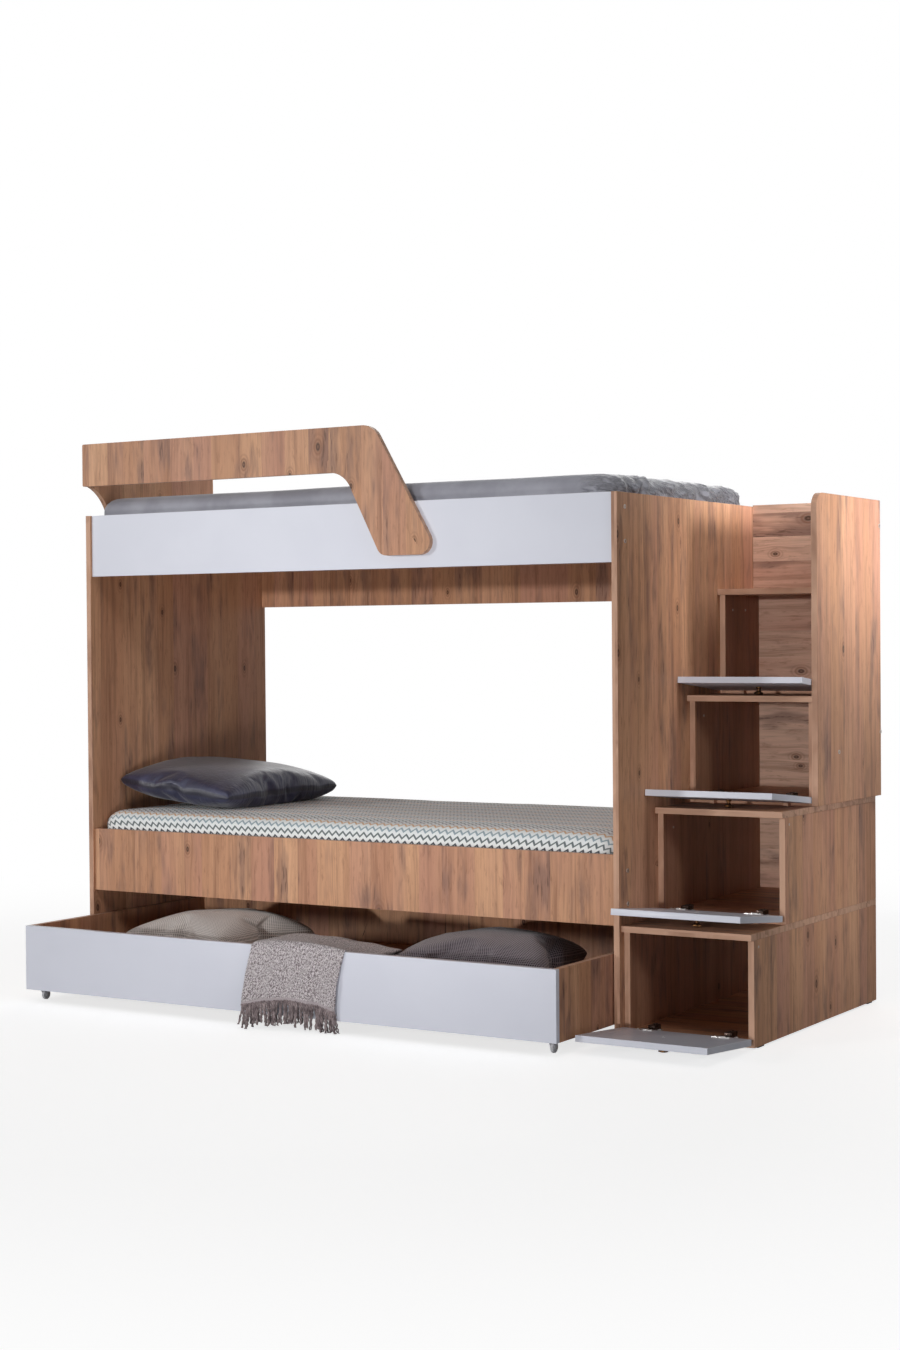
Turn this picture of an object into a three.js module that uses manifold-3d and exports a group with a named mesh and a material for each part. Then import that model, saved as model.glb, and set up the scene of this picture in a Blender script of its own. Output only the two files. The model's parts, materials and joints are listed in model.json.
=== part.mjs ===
// Triple bunk bed: two fixed bunks, a pull-out bed drawer on casters, a guard with a leaning
// leg, and a staircase of four storage boxes with drop-down flaps.
// Lengths are in millimetres. +Z is up, the front looks along -Y and the stair stands at +X.

import * as THREE from 'three';
import { mergeVertices } from 'three/addons/utils/BufferGeometryUtils.js';
import Module from 'manifold-3d';

const wasm = await Module();
wasm.setup();

// Board stock and clearances
const boardThickness = 18;
const seatGap = 0.3;
const overrun = 1;
const arcSteps = 5;

// Mattresses and the play that the frame gives them
const mattressLength = 1900;
const mattressWidth = 900;
const mattressHeight = 185;
const mattressCrown = 6;
const mattressCornerRadius = 45;
const mattressEdgeRadius = 32;
const mattressCrownReach = 170;
const mattressEndPlay = 5;
const mattressSidePlay = 3;

// Bed frame, sized to take the mattress between its end panels, its rail and its back panels
const railRecess = 8;
const innerLength = mattressLength + 2 * mattressEndPlay;
const bedDepth = railRecess + mattressWidth + 2 * (mattressSidePlay + boardThickness);
const footHeight = 4;
const footLength = 40;
const footWidth = 14;
const footInset = 30;
const panelHeight = 1532;
const lowerRailBottom = 315;
const lowerRailHeight = 200;
const upperRailHeight = 198;
const upperBackHeight = 291;
const baseDrop = 122;
const cleatSide = 25;

// Guard
const guardRise = 232;
const guardBoardHeight = 137;
const guardOverhang = 3;
const guardTopEnd = 161;
const guardLegDrop = 160;
const guardLegToe = 388;
const guardLegHeel = 185;
const guardLegThroat = 55;
const guardShoulderRadius = 65;
const guardThroatRadius = 85;
const guardToeRadius = 38;
const guardHeelRadius = 35;
const guardEndRadius = 5;
const endBoardLength = 644;
const endBoardScoopRadius = 147;
const endBoardBackRadius = 40;

// Pillow
const pillowLength = 640;
const pillowWidth = 440;
const pillowThickness = 150;
const pillowDrawIn = 18;
const pillowLean = THREE.MathUtils.degToRad(13);
const pillowFrontRoom = 95;

// Stair boxes
const stairWidth = 396;
const stairStepCount = 4;
const firstTreadTop = 316;
const treadPitch = 318.5;
const firstTreadFront = 10.5;
const treadRun = 217.4;
const sidePanelTopRise = 4;
const sidePanelBottomLift = 1.5;
const sidePanelLead = 2;
const sidePanelRadius = 45;

// Flaps, their hinges and knobs
const flapSideReveal = 2;
const flapProud = 1;
const flapTopGap = 3;
const flapBottomLift = 8.5;
const hingeAxisLift = 10;
const hingeAxisSetback = 0.3;
const hingeSpacing = 234;
const cupRadius = 12;
const cupDepth = 4;
const cupInset = 23;
const cupPlateLength = 52;
const cupPlateWidth = 17;
const cupPlateThickness = 2;
const hingeArmWidth = 14;
const hingeArmLength = 40;
const hingeArmHeight = 9;
const hingeArmNoseRadius = 4;
const hingeFootLength = 42;
const hingeFootWidth = 13;
const hingeFootHeight = 3;
const hingeFootSetback = 16;
const hingeArmClearance = 4;
const hingeTongueLead = 4;
const knobHeight = 23;
const knobRadius = 14;
const knobCrownRadius = 40;

// Bed drawer and its casters
const drawerSideGap = 4;
const drawerDepth = 900;
const drawerFrontHeight = 200;
const drawerFrontBottom = 36;
const drawerPull = 337;
const drawerBaseTop = 124;
const battenWidth = 50;
const battenBottom = 48;
const casterSideInset = 36;
const casterEndInset = 40;
const casterTrail = 12;
const casterWheelRadius = 16;
const casterWheelWidth = 10;
const casterWheelClearance = 0.6;
const casterTreadRadius = 3;
const casterAxleRadius = 2.5;
const casterBoreClearance = 0.1;
const casterCheekThickness = 2;
const casterBossRadius = 6;
const casterDiscRadius = 12;
const casterDiscThickness = 3;
const casterCheekReach = 9;
const casterStemRadius = 3;
const casterStemHeight = 14;

// Bedding that lies in the drawer
const cushionLength = 500;
const cushionWidth = 430;
const cushionThickness = 184;
const cushionDrawIn = 20;
const paleCushionFromLeft = 500;
const paleCushionTurn = THREE.MathUtils.degToRad(-12);
const darkCushionFromRight = 325;
const darkCushionTurn = THREE.MathUtils.degToRad(8);
const cushionFromFront = 300;
const throwThickness = 8;
const throwFromLeft = 890;
const throwWidth = 326;
const throwPileWidth = 440;
const throwPileDepth = 205;
const throwPileTopDrop = 8;
const throwBend = 9;
const throwHemLift = 3;
const throwFlare = 55;
const throwFoldDepth = 9;
const throwFoldCount = 3;
const throwSideDrawIn = 32;

// Levels and faces that several pieces share
const panelInner = innerLength / 2;
const panelOuter = panelInner + boardThickness;
const panelTop = footHeight + panelHeight;
const railFront = railRecess;
const railBack = railFront + boardThickness;
const railEnd = panelInner - seatGap;
const backInner = bedDepth - boardThickness;
const upperRailBottom = panelTop - upperRailHeight;
const lowerRailTop = lowerRailBottom + lowerRailHeight;
const lowerBaseTop = lowerRailTop - baseDrop;
const upperBaseTop = panelTop - baseDrop;
const guardBack = railFront - seatGap;
const guardBoardBottom = panelTop + guardRise - guardBoardHeight;
const stairLeft = panelOuter + seatGap;
const stairRight = stairLeft + stairWidth;
const stairMiddle = stairLeft + stairWidth / 2;

// Finishes
const finish = (color, roughness, metalness = 0) =>
  new THREE.MeshStandardMaterial({ color, roughness, metalness });
const oak = () => finish(0xc4926f, 0.5);
const white = () => finish(0xe6e8ee, 0.35);
const bronze = () => finish(0x4a3d33, 0.35, 0.8);
const caster = () => finish(0x3a3c40, 0.45, 0.3);
const tyre = () => finish(0xb9bcc0, 0.5);

// Closed geometry to an exact solid and back
function welded(geometry) {
  const bare = geometry.clone();
  bare.deleteAttribute('normal');
  bare.deleteAttribute('uv');
  const joined = mergeVertices(bare);
  const corners = Array.from(joined.index.array);
  const kept = [];
  for (let i = 0; i < corners.length; i += 3) {
    const [a, b, c] = corners.slice(i, i + 3);
    if (a !== b && b !== c && c !== a) kept.push(a, b, c);
  }
  joined.setIndex(kept);
  joined.computeVertexNormals();
  return joined;
}

function toSolid(geometry) {
  const clean = welded(geometry);
  return new wasm.Manifold(new wasm.Mesh({
    numProp: 3,
    vertProperties: new Float32Array(clean.attributes.position.array),
    triVerts: new Uint32Array(clean.index.array),
  }));
}

function toGeometry(solid) {
  const { vertProperties, triVerts } = solid.getMesh();
  const geometry = new THREE.BufferGeometry();
  geometry.setAttribute('position', new THREE.BufferAttribute(new Float32Array(vertProperties), 3));
  geometry.setIndex(new THREE.BufferAttribute(new Uint32Array(triVerts), 1));
  geometry.computeVertexNormals();
  return geometry;
}

// Each range is a pair of the lower and the upper value
function block(x, y, z) {
  const geometry = new THREE.BoxGeometry(x[1] - x[0], y[1] - y[0], z[1] - z[0]);
  geometry.translate((x[0] + x[1]) / 2, (y[0] + y[1]) / 2, (z[0] + z[1]) / 2);
  return geometry;
}

function unite(...geometries) {
  return geometries.map(toSolid).reduce((whole, next) => whole.add(next));
}

function cylinder(radius, length, steps) {
  return new THREE.CylinderGeometry(radius, radius, length, steps);
}

function addMesh(group, name, geometry, material) {
  const mesh = new THREE.Mesh(geometry, material);
  mesh.name = name;
  group.add(mesh);
  return mesh;
}

function addBoard(group, name, material, x, y, z) {
  const size = [x, y, z].map(([low, high]) => high - low);
  const mesh = addMesh(group, name, new THREE.BoxGeometry(...size), material);
  mesh.position.set(...[x, y, z].map(([low, high]) => (low + high) / 2));
  return mesh;
}

// Outline whose corners [x, y, radius] are rounded by arcs that touch both sides
function filletedShape(corners) {
  const shape = new THREE.Shape();
  corners.forEach(([x, y, radius], index) => {
    const corner = new THREE.Vector2(x, y);
    const before = corners[(index + corners.length - 1) % corners.length];
    const after = corners[(index + 1) % corners.length];
    const back = new THREE.Vector2(before[0], before[1]).sub(corner).normalize();
    const ahead = new THREE.Vector2(after[0], after[1]).sub(corner).normalize();
    const half = Math.acos(back.dot(ahead)) / 2;
    const reach = radius / Math.tan(half);
    const start = corner.clone().addScaledVector(back, reach);
    if (index === 0) shape.moveTo(start.x, start.y);
    else shape.lineTo(start.x, start.y);
    if (radius === 0) return;
    const middle = back.clone().add(ahead).normalize();
    const center = corner.clone().addScaledVector(middle, radius / Math.sin(half));
    const end = corner.clone().addScaledVector(ahead, reach);
    const from = Math.atan2(start.y - center.y, start.x - center.x);
    const to = Math.atan2(end.y - center.y, end.x - center.x);
    const clockwise = back.cross(ahead) > 0;
    shape.absarc(center.x, center.y, radius, from, to, clockwise);
  });
  shape.closePath();
  return shape;
}

function extruded(shape, depth) {
  return welded(new THREE.ExtrudeGeometry(shape, { depth, bevelEnabled: false, curveSegments: arcSteps }));
}

// A plate drawn in X and Z that stands with its back face at the given Y
function facingPlate(shape, backY) {
  const geometry = extruded(shape, boardThickness);
  geometry.rotateX(Math.PI / 2);
  geometry.translate(0, backY, 0);
  return geometry;
}

// A plate drawn in Y and Z that stands with its left face at the given X
function sidePlate(shape, leftX, thickness = boardThickness) {
  const geometry = extruded(shape, thickness);
  const axes = new THREE.Matrix4().makeBasis(
    new THREE.Vector3(0, 1, 0),
    new THREE.Vector3(0, 0, 1),
    new THREE.Vector3(1, 0, 0),
  );
  geometry.applyMatrix4(axes);
  geometry.translate(leftX, 0, 0);
  return geometry;
}

function feet(x, y) {
  const middle = (x[0] + x[1]) / 2;
  const across = [middle - footWidth / 2, middle + footWidth / 2];
  const level = [0, footHeight + overrun];
  const front = [y[0] + footInset, y[0] + footInset + footLength];
  const rear = [y[1] - footInset - footLength, y[1] - footInset];
  return [block(across, front, level), block(across, rear, level)];
}

const bed = new THREE.Group();

// End panels with their glides
function endPanel(name, x) {
  const depth = [0, bedDepth];
  const panel = unite(block(x, depth, [footHeight, panelTop]), ...feet(x, depth));
  addMesh(bed, name, toGeometry(panel), oak());
}
endPanel('left_end_panel', [-panelOuter, -panelInner]);
endPanel('right_end_panel', [panelInner, panelOuter]);

// Rails and back panels, each with the cleat that carries a bed base
function cleatLevel(baseTop) {
  const top = baseTop - boardThickness - seatGap;
  return [top - cleatSide, top];
}

function cleatedRail(name, material, level, baseTop) {
  const along = [-railEnd, railEnd];
  const cleat = block(along, [railBack - overrun, railBack + cleatSide], cleatLevel(baseTop));
  const rail = unite(block(along, [railFront, railBack], level), cleat);
  addMesh(bed, name, toGeometry(rail), material);
}
cleatedRail('lower_front_rail', oak(), [lowerRailBottom, lowerRailTop], lowerBaseTop);
cleatedRail('upper_front_rail', white(), [upperRailBottom, panelTop], upperBaseTop);

function cleatedBack(name, level, baseTop) {
  const along = [-railEnd, railEnd];
  const cleat = block(along, [backInner - cleatSide, backInner + overrun], cleatLevel(baseTop));
  const panel = unite(block(along, [backInner, bedDepth], level), cleat);
  addMesh(bed, name, toGeometry(panel), oak());
}
cleatedBack('lower_back_panel', [lowerRailBottom, lowerRailTop], lowerBaseTop);
cleatedBack('upper_back_panel', [panelTop - upperBackHeight, panelTop], upperBaseTop);

// Bed bases
for (const [name, top] of [['lower_bed_base', lowerBaseTop], ['upper_bed_base', upperBaseTop]]) {
  const across = [railBack + seatGap, backInner - seatGap];
  addBoard(bed, name, oak(), [-railEnd, railEnd], across, [top - boardThickness, top]);
}

// Front guard: a long board that turns into a leg leaning out over the upper rail
const guardShape = filletedShape([
  [-panelOuter - guardOverhang, guardBoardBottom, guardEndRadius],
  [guardLegThroat, guardBoardBottom, guardThroatRadius],
  [guardLegHeel, panelTop - guardLegDrop, guardHeelRadius],
  [guardLegToe, panelTop - guardLegDrop, guardToeRadius],
  [guardTopEnd, panelTop + guardRise, guardShoulderRadius],
  [-panelOuter - guardOverhang, panelTop + guardRise, guardEndRadius],
]);
addMesh(bed, 'guard_front_board', facingPlate(guardShape, guardBack), oak());

// End guard: stands on the left panel, its lower front corner scooped out by an arc
const endBoardFront = guardBack + seatGap;
const endBoardBack = endBoardFront + endBoardLength;
const endBoardBottom = panelTop + seatGap;
const endBoardTop = panelTop + guardRise;
const scoopHeight = guardBoardBottom - endBoardBottom;
const scoopOffset = (Math.sqrt(2 * endBoardScoopRadius ** 2 - scoopHeight ** 2) - scoopHeight) / 2;
const endBoardShape = new THREE.Shape();
endBoardShape.moveTo(endBoardFront + scoopHeight, endBoardBottom);
endBoardShape.lineTo(endBoardBack, endBoardBottom);
endBoardShape.lineTo(endBoardBack, endBoardTop - endBoardBackRadius);
endBoardShape.absarc(
  endBoardBack - endBoardBackRadius, endBoardTop - endBoardBackRadius,
  endBoardBackRadius, 0, Math.PI / 2, false,
);
endBoardShape.lineTo(endBoardFront, endBoardTop);
endBoardShape.lineTo(endBoardFront, guardBoardBottom);
endBoardShape.absarc(
  endBoardFront - scoopOffset, endBoardBottom - scoopOffset, endBoardScoopRadius,
  Math.atan2(scoopHeight + scoopOffset, scoopOffset),
  Math.atan2(scoopOffset, scoopHeight + scoopOffset), true,
);
addMesh(bed, 'guard_end_board', sidePlate(endBoardShape, -panelOuter), oak());

// Closed skin over a stack of rings of equal point count, with a fan at either end
function ringLoft(rings, bottom, top) {
  const count = rings[0].length;
  const points = [...rings.flat(), bottom, top];
  const low = rings.length * count;
  const faces = [];
  for (let k = 0; k < count; k += 1) {
    const next = (k + 1) % count;
    faces.push(low, next, k);
    const last = (rings.length - 1) * count;
    faces.push(low + 1, last + k, last + next);
    for (let r = 0; r + 1 < rings.length; r += 1) {
      const a = r * count + k;
      const b = r * count + next;
      faces.push(a, b, b + count, a, b + count, a + count);
    }
  }
  const geometry = new THREE.BufferGeometry().setFromPoints(points);
  geometry.setIndex(faces);
  geometry.computeVertexNormals();
  return geometry;
}

function roundedRing(halfX, halfY, radius, z, cornerSteps, sideSteps) {
  const ring = [];
  const quarters = [[1, -1], [1, 1], [-1, 1], [-1, -1]];
  quarters.forEach(([sx, sy], quarter) => {
    const center = new THREE.Vector3(sx * (halfX - radius), sy * (halfY - radius), z);
    for (let i = 0; i <= cornerSteps; i += 1) {
      const angle = (quarter - 1 + i / cornerSteps) * Math.PI / 2;
      const offset = new THREE.Vector3(Math.cos(angle) * radius, Math.sin(angle) * radius, 0);
      ring.push(center.clone().add(offset));
    }
    const [nx, ny] = quarters[(quarter + 1) % quarters.length];
    const angle = quarter * Math.PI / 2;
    const offset = new THREE.Vector3(Math.cos(angle) * radius, Math.sin(angle) * radius, 0);
    const start = center.clone().add(offset);
    const end = new THREE.Vector3(nx * (halfX - radius), ny * (halfY - radius), z).add(offset);
    for (let i = 1; i < sideSteps; i += 1) ring.push(start.clone().lerp(end, i / sideSteps));
  });
  return ring;
}

// Mattress: rounded edges all round and a low crown on top
function mattressForm() {
  const shoulder = mattressHeight - mattressCrown;
  const bendSteps = 4;
  const cornerSteps = 5;
  const sideSteps = 4;
  const ring = (inset, z) => roundedRing(
    mattressLength / 2 - inset, mattressWidth / 2 - inset,
    mattressCornerRadius * (mattressLength / 2 - inset) / (mattressLength / 2), z, cornerSteps, sideSteps,
  );
  const rings = [];
  for (let i = 0; i <= bendSteps; i += 1) {
    const angle = i / bendSteps * Math.PI / 2;
    const inset = mattressEdgeRadius * (1 - Math.sin(angle));
    rings.push(ring(inset, mattressEdgeRadius * (1 - Math.cos(angle))));
  }
  for (let i = 0; i <= bendSteps; i += 1) {
    const angle = i / bendSteps * Math.PI / 2;
    const inset = mattressEdgeRadius * (1 - Math.cos(angle));
    rings.push(ring(inset, shoulder - mattressEdgeRadius * (1 - Math.sin(angle))));
  }
  for (let i = 1; i <= bendSteps; i += 1) {
    const share = i / bendSteps;
    const inset = mattressEdgeRadius + (mattressCrownReach - mattressEdgeRadius) * share;
    rings.push(ring(inset, shoulder + mattressCrown * Math.sin(share * Math.PI / 2)));
  }
  return ringLoft(rings, new THREE.Vector3(0, 0, 0), new THREE.Vector3(0, 0, mattressHeight));
}
const bunkMiddle = (railBack + backInner) / 2;
const upperSheet = addMesh(bed, 'upper_mattress', mattressForm(), finish(0xa9a9b2, 0.9));
upperSheet.position.set(0, bunkMiddle, upperBaseTop + seatGap);
const lowerSheet = addMesh(bed, 'lower_mattress', mattressForm(), finish(0xd9d8d4, 0.9));
lowerSheet.position.set(0, bunkMiddle, lowerBaseTop + seatGap);

// Stuffed form: two crowned skins that meet in a seam whose sides draw in between the corners.
// The lower skin flattens where it rests, at restShare of the half thickness below the seam.
function stuffedForm({ length, width, thickness, drawIn, restShare, cornerRise }) {
  const columns = 16;
  const rows = 14;
  const fullnessShare = 0.38;
  const skin = (side) => {
    const points = [];
    for (let j = 0; j <= rows; j += 1) {
      for (let i = 0; i <= columns; i += 1) {
        const u = -Math.cos(i / columns * Math.PI);
        const v = -Math.cos(j / rows * Math.PI);
        const x = u * (length / 2 - drawIn * (1 - v * v));
        const y = v * (width / 2 - drawIn * (1 - u * u));
        const swell = Math.max(0, (1 - u * u) * (1 - v * v)) ** fullnessShare;
        const full = side * swell * thickness / 2;
        const lift = cornerRise * u * u * v * v;
        points.push(new THREE.Vector3(x, y, Math.max(full, -restShare * thickness / 2) + lift));
      }
    }
    return points;
  };
  const points = [...skin(1), ...skin(-1)];
  const offset = points.length / 2;
  const faces = [];
  for (let j = 0; j < rows; j += 1) {
    for (let i = 0; i < columns; i += 1) {
      const a = j * (columns + 1) + i;
      const b = a + 1;
      const c = b + columns + 1;
      const d = a + columns + 1;
      faces.push(a, b, c, a, c, d);
      faces.push(offset + a, offset + c, offset + b, offset + a, offset + d, offset + c);
    }
  }
  const geometry = new THREE.BufferGeometry().setFromPoints(points);
  geometry.setIndex(faces);
  return welded(geometry);
}

// Puts a tilted form down so that its lowest point is the seat gap above the given level
function settle(mesh, x, y, level) {
  mesh.position.set(0, 0, 0);
  mesh.updateMatrixWorld(true);
  const bounds = new THREE.Box3().setFromObject(mesh, true);
  mesh.position.set(x, y, level + seatGap - bounds.min.z);
}

// Pillow: leans with its far long side against the left end panel
const pillow = addMesh(bed, 'pillow', stuffedForm({
  length: pillowWidth,
  width: pillowLength,
  thickness: pillowThickness,
  drawIn: pillowDrawIn,
  restShare: 0.62,
  cornerRise: pillowThickness * 0.1,
}), finish(0x3c3c46, 0.55));
pillow.rotation.y = pillowLean;
settle(pillow, 0, 0, lowerBaseTop + seatGap + mattressHeight);
pillow.updateMatrixWorld(true);
const pillowBounds = new THREE.Box3().setFromObject(pillow, true);
pillow.position.x = -panelInner + seatGap - pillowBounds.min.x;
pillow.position.y = railBack + pillowFrontRoom - pillowBounds.min.y;

// Stair boxes, each standing on the tread of the one below
const treadTop = (n) => firstTreadTop + (n - 1) * treadPitch;
const treadFront = (n) => firstTreadFront + (n - 1) * treadRun;
const boxRest = (n) => (n === 1 ? footHeight : treadTop(n - 1) + seatGap);
const wallInner = boardThickness + seatGap;

// Hinge arm: a strap screwed to the box floor through its foot, with a tongue in front of the
// board that the flap's lower edge turns over
function hingeArm(x, front, level) {
  const reach = [front + hingeArmClearance, front + hingeArmClearance + hingeArmLength];
  const nose = filletedShape([
    [reach[0], level - overrun, 0],
    [reach[1], level - overrun, 0],
    [reach[1], level + hingeArmHeight, hingeArmNoseRadius],
    [reach[0], level + hingeArmHeight, hingeArmNoseRadius],
  ]);
  const arm = sidePlate(nose, x - hingeArmWidth / 2, hingeArmWidth);
  const footFront = reach[0] + hingeFootSetback;
  const foot = block(
    [x - hingeFootLength / 2, x + hingeFootLength / 2],
    [footFront, footFront + hingeFootWidth],
    [level - overrun, level + hingeFootHeight],
  );
  const rest = level - boardThickness;
  const cornerSweep = Math.hypot(flapProud + hingeAxisSetback, hingeAxisLift - flapBottomLift);
  const tongue = block(
    [x - hingeArmWidth / 2, x + hingeArmWidth / 2],
    [front - boardThickness - hingeTongueLead, front + overrun],
    [rest, rest + hingeAxisLift - cornerSweep - seatGap],
  );
  return [arm, foot, tongue];
}

function stairBox(n) {
  const across = [stairLeft, stairRight];
  const inside = [stairLeft + wallInner, stairRight - wallInner];
  const front = treadFront(n) + boardThickness;
  const rest = boxRest(n);
  const underTread = treadTop(n) - boardThickness;
  addBoard(bed, `tread_${n}`, oak(), across, [treadFront(n), bedDepth], [underTread, treadTop(n)]);

  const wall = (name, x) => {
    const depth = [front, bedDepth];
    const height = [rest, underTread - seatGap];
    if (n > 1) {
      addBoard(bed, name, oak(), x, depth, height);
      return;
    }
    addMesh(bed, name, toGeometry(unite(block(x, depth, height), ...feet(x, depth))), oak());
  };
  wall(`box_${n}_left_wall`, [stairLeft, stairLeft + boardThickness]);
  wall(`box_${n}_right_wall`, [stairRight - boardThickness, stairRight]);

  const floorTop = rest + boardThickness;
  const floor = unite(
    block(inside, [front, backInner - seatGap], [rest, floorTop]),
    ...hingeArm(stairMiddle - hingeSpacing / 2, front, floorTop),
    ...hingeArm(stairMiddle + hingeSpacing / 2, front, floorTop),
  );
  addMesh(bed, `box_${n}_floor`, toGeometry(floor), oak());
  addBoard(bed, `box_${n}_back`, oak(), inside, [backInner, bedDepth], [rest, underTread - seatGap]);
}

// Knob: a revolved stem that widens into a crowned head
function knobForm() {
  const crown = (r) => knobHeight - (knobCrownRadius - Math.sqrt(knobCrownRadius ** 2 - r ** 2));
  const profileShares = [[0, 0], [0.62, 0], [0.6, 0.12], [0.42, 0.22], [0.4, 0.45], [0.62, 0.6], [0.95, 0.7]];
  const points = profileShares.map(([r, h]) => new THREE.Vector2(r * knobRadius, h * knobHeight));
  const crownShares = [1, 0.92, 0.7, 0.4, 0];
  for (const share of crownShares) {
    points.push(new THREE.Vector2(share * knobRadius, crown(share * knobRadius)));
  }
  return welded(new THREE.LatheGeometry(points, 20));
}

// Flap: hinged low on the front of its box. It is drawn shut round the hinge axis, and turned
// down until the crown of its knob rests on the tread or floor below.
function stairFlap(n) {
  const axisLevel = boxRest(n) + hingeAxisLift;
  const axisFront = treadFront(n) + hingeAxisSetback;
  const flap = new THREE.Group();
  flap.position.set(stairMiddle, axisFront, axisLevel);
  const outer = -flapProud - hingeAxisSetback;
  const inner = outer + boardThickness;
  const bottom = flapBottomLift - hingeAxisLift;
  const top = treadTop(n) - boardThickness - flapTopGap - axisLevel;
  const halfWidth = stairWidth / 2 - flapSideReveal;
  const pieces = [block([-halfWidth, halfWidth], [outer, inner], [bottom, top])];
  for (const x of [-hingeSpacing / 2, hingeSpacing / 2]) {
    const cup = cylinder(cupRadius, cupDepth + overrun, 20);
    cup.translate(x, inner + (cupDepth - overrun) / 2, bottom + cupInset);
    pieces.push(cup, block(
      [x - cupPlateLength / 2, x + cupPlateLength / 2],
      [inner - overrun, inner + cupPlateThickness],
      [bottom + cupInset - cupPlateWidth / 2, bottom + cupInset + cupPlateWidth / 2],
    ));
  }
  addMesh(flap, `flap_${n}`, toGeometry(unite(...pieces)), white());

  const knobLevel = (bottom + top) / 2;
  const knob = addMesh(flap, `knob_${n}`, knobForm(), bronze());
  knob.position.set(0, outer - seatGap, knobLevel);
  knob.rotation.x = Math.PI;

  const below = n === 1 ? 0 : treadTop(n - 1);
  const crownCenter = outer - seatGap - knobHeight + knobCrownRadius;
  const crownDrop = axisLevel - below - seatGap - knobCrownRadius;
  const reach = Math.hypot(crownCenter, knobLevel);
  flap.rotation.x = Math.atan2(crownCenter, knobLevel) + Math.acos(-crownDrop / reach);
  bed.add(flap);
  return flap.rotation.x;
}

for (let n = 1; n <= stairStepCount; n += 1) {
  stairBox(n);
  stairFlap(n);
}

// Panels that close the landing: one behind it and one on its outer side
const landing = treadTop(stairStepCount);
addBoard(
  bed, 'landing_back_panel', oak(),
  [stairLeft, stairRight], [backInner, bedDepth], [landing + seatGap, panelTop + sidePanelTopRise],
);
const sidePanelFront = treadFront(3) - sidePanelLead;
const sidePanelBottom = treadTop(2) + sidePanelBottomLift;
const sidePanelTop = panelTop + sidePanelTopRise;
const sidePanelShape = filletedShape([
  [sidePanelFront, sidePanelBottom, 0],
  [bedDepth, sidePanelBottom, 0],
  [bedDepth, sidePanelTop, 0],
  [sidePanelFront, sidePanelTop, sidePanelRadius],
]);
addMesh(bed, 'side_panel', sidePlate(sidePanelShape, stairRight + seatGap), oak());

// Bed drawer, drawn shut and then pulled out by the group that carries it
const drawer = new THREE.Group();
drawer.position.y = -drawerPull;
bed.add(drawer);
const drawerHalf = panelInner - drawerSideGap;
const drawerFront = railFront;
const drawerInner = drawerFront + boardThickness + seatGap;
const drawerEnd = drawerFront + drawerDepth;
const drawerBackInner = drawerEnd - boardThickness - seatGap;
const drawerTop = drawerFrontBottom + drawerFrontHeight;
const drawerWallLevel = [drawerFrontBottom, drawerTop];
const drawerInnerHalf = drawerHalf - boardThickness;
addBoard(
  drawer, 'drawer_front', white(),
  [-drawerHalf, drawerHalf], [drawerFront, drawerFront + boardThickness], drawerWallLevel,
);

const casterPlaces = [drawerFront + casterEndInset, drawerEnd - casterEndInset];
const casterX = drawerHalf - casterSideInset;

function drawerSide(name, side) {
  const range = (a, b) => (side > 0 ? [a, b] : [-b, -a]);
  const depth = [drawerInner, drawerEnd];
  const batten = block(
    range(drawerInnerHalf - battenWidth, drawerInnerHalf + overrun),
    [drawerInner, drawerBackInner],
    [battenBottom, drawerBaseTop - boardThickness - seatGap],
  );
  let solid = unite(block(range(drawerInnerHalf, drawerHalf), depth, drawerWallLevel), batten);
  for (const y of casterPlaces) {
    const depthOfBore = casterStemHeight + seatGap;
    const bore = cylinder(casterStemRadius + casterBoreClearance, depthOfBore + overrun, 20);
    bore.rotateX(Math.PI / 2);
    bore.translate(side * casterX, y, battenBottom + (depthOfBore - overrun) / 2);
    solid = solid.subtract(toSolid(bore));
  }
  addMesh(drawer, name, toGeometry(solid), oak());
}
drawerSide('drawer_left_side', -1);
drawerSide('drawer_right_side', 1);
const betweenSides = [-drawerInnerHalf + seatGap, drawerInnerHalf - seatGap];
addBoard(
  drawer, 'drawer_back', oak(),
  betweenSides, [drawerEnd - boardThickness, drawerEnd], drawerWallLevel,
);
addBoard(
  drawer, 'drawer_base', oak(),
  betweenSides, [drawerInner, drawerBackInner], [drawerBaseTop - boardThickness, drawerBaseTop],
);

// Swivel caster: a fork on an upright stem, with a wheel that trails behind the stem
function casterForkForm() {
  const top = battenBottom - seatGap;
  const under = top - casterDiscThickness;
  const axle = casterWheelRadius;
  const cheek = filletedShape([
    [-casterCheekReach, under + overrun, 0],
    [-casterCheekReach, under - casterDiscThickness, casterTreadRadius],
    [casterTrail - casterBossRadius, axle - casterBossRadius, casterTreadRadius],
    [casterTrail + casterBossRadius, axle - casterBossRadius, casterTreadRadius],
    [casterTrail + casterBossRadius, axle + casterBossRadius, casterTreadRadius],
    [casterCheekReach, under + overrun, 0],
  ]);
  const inside = casterWheelWidth / 2 + casterWheelClearance;
  const disc = cylinder(casterDiscRadius, casterDiscThickness, 24);
  disc.rotateX(Math.PI / 2);
  disc.translate(0, 0, top - casterDiscThickness / 2);
  const stem = cylinder(casterStemRadius, casterStemHeight + casterDiscThickness, 16);
  stem.rotateX(Math.PI / 2);
  stem.translate(0, 0, under + (casterStemHeight + casterDiscThickness) / 2);
  const pin = cylinder(casterAxleRadius, 2 * inside + casterCheekThickness, 16);
  pin.rotateZ(Math.PI / 2);
  pin.translate(0, casterTrail, axle);
  return toGeometry(unite(
    disc, stem, pin,
    sidePlate(cheek, inside, casterCheekThickness),
    sidePlate(cheek, -inside - casterCheekThickness, casterCheekThickness),
  ));
}

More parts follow.
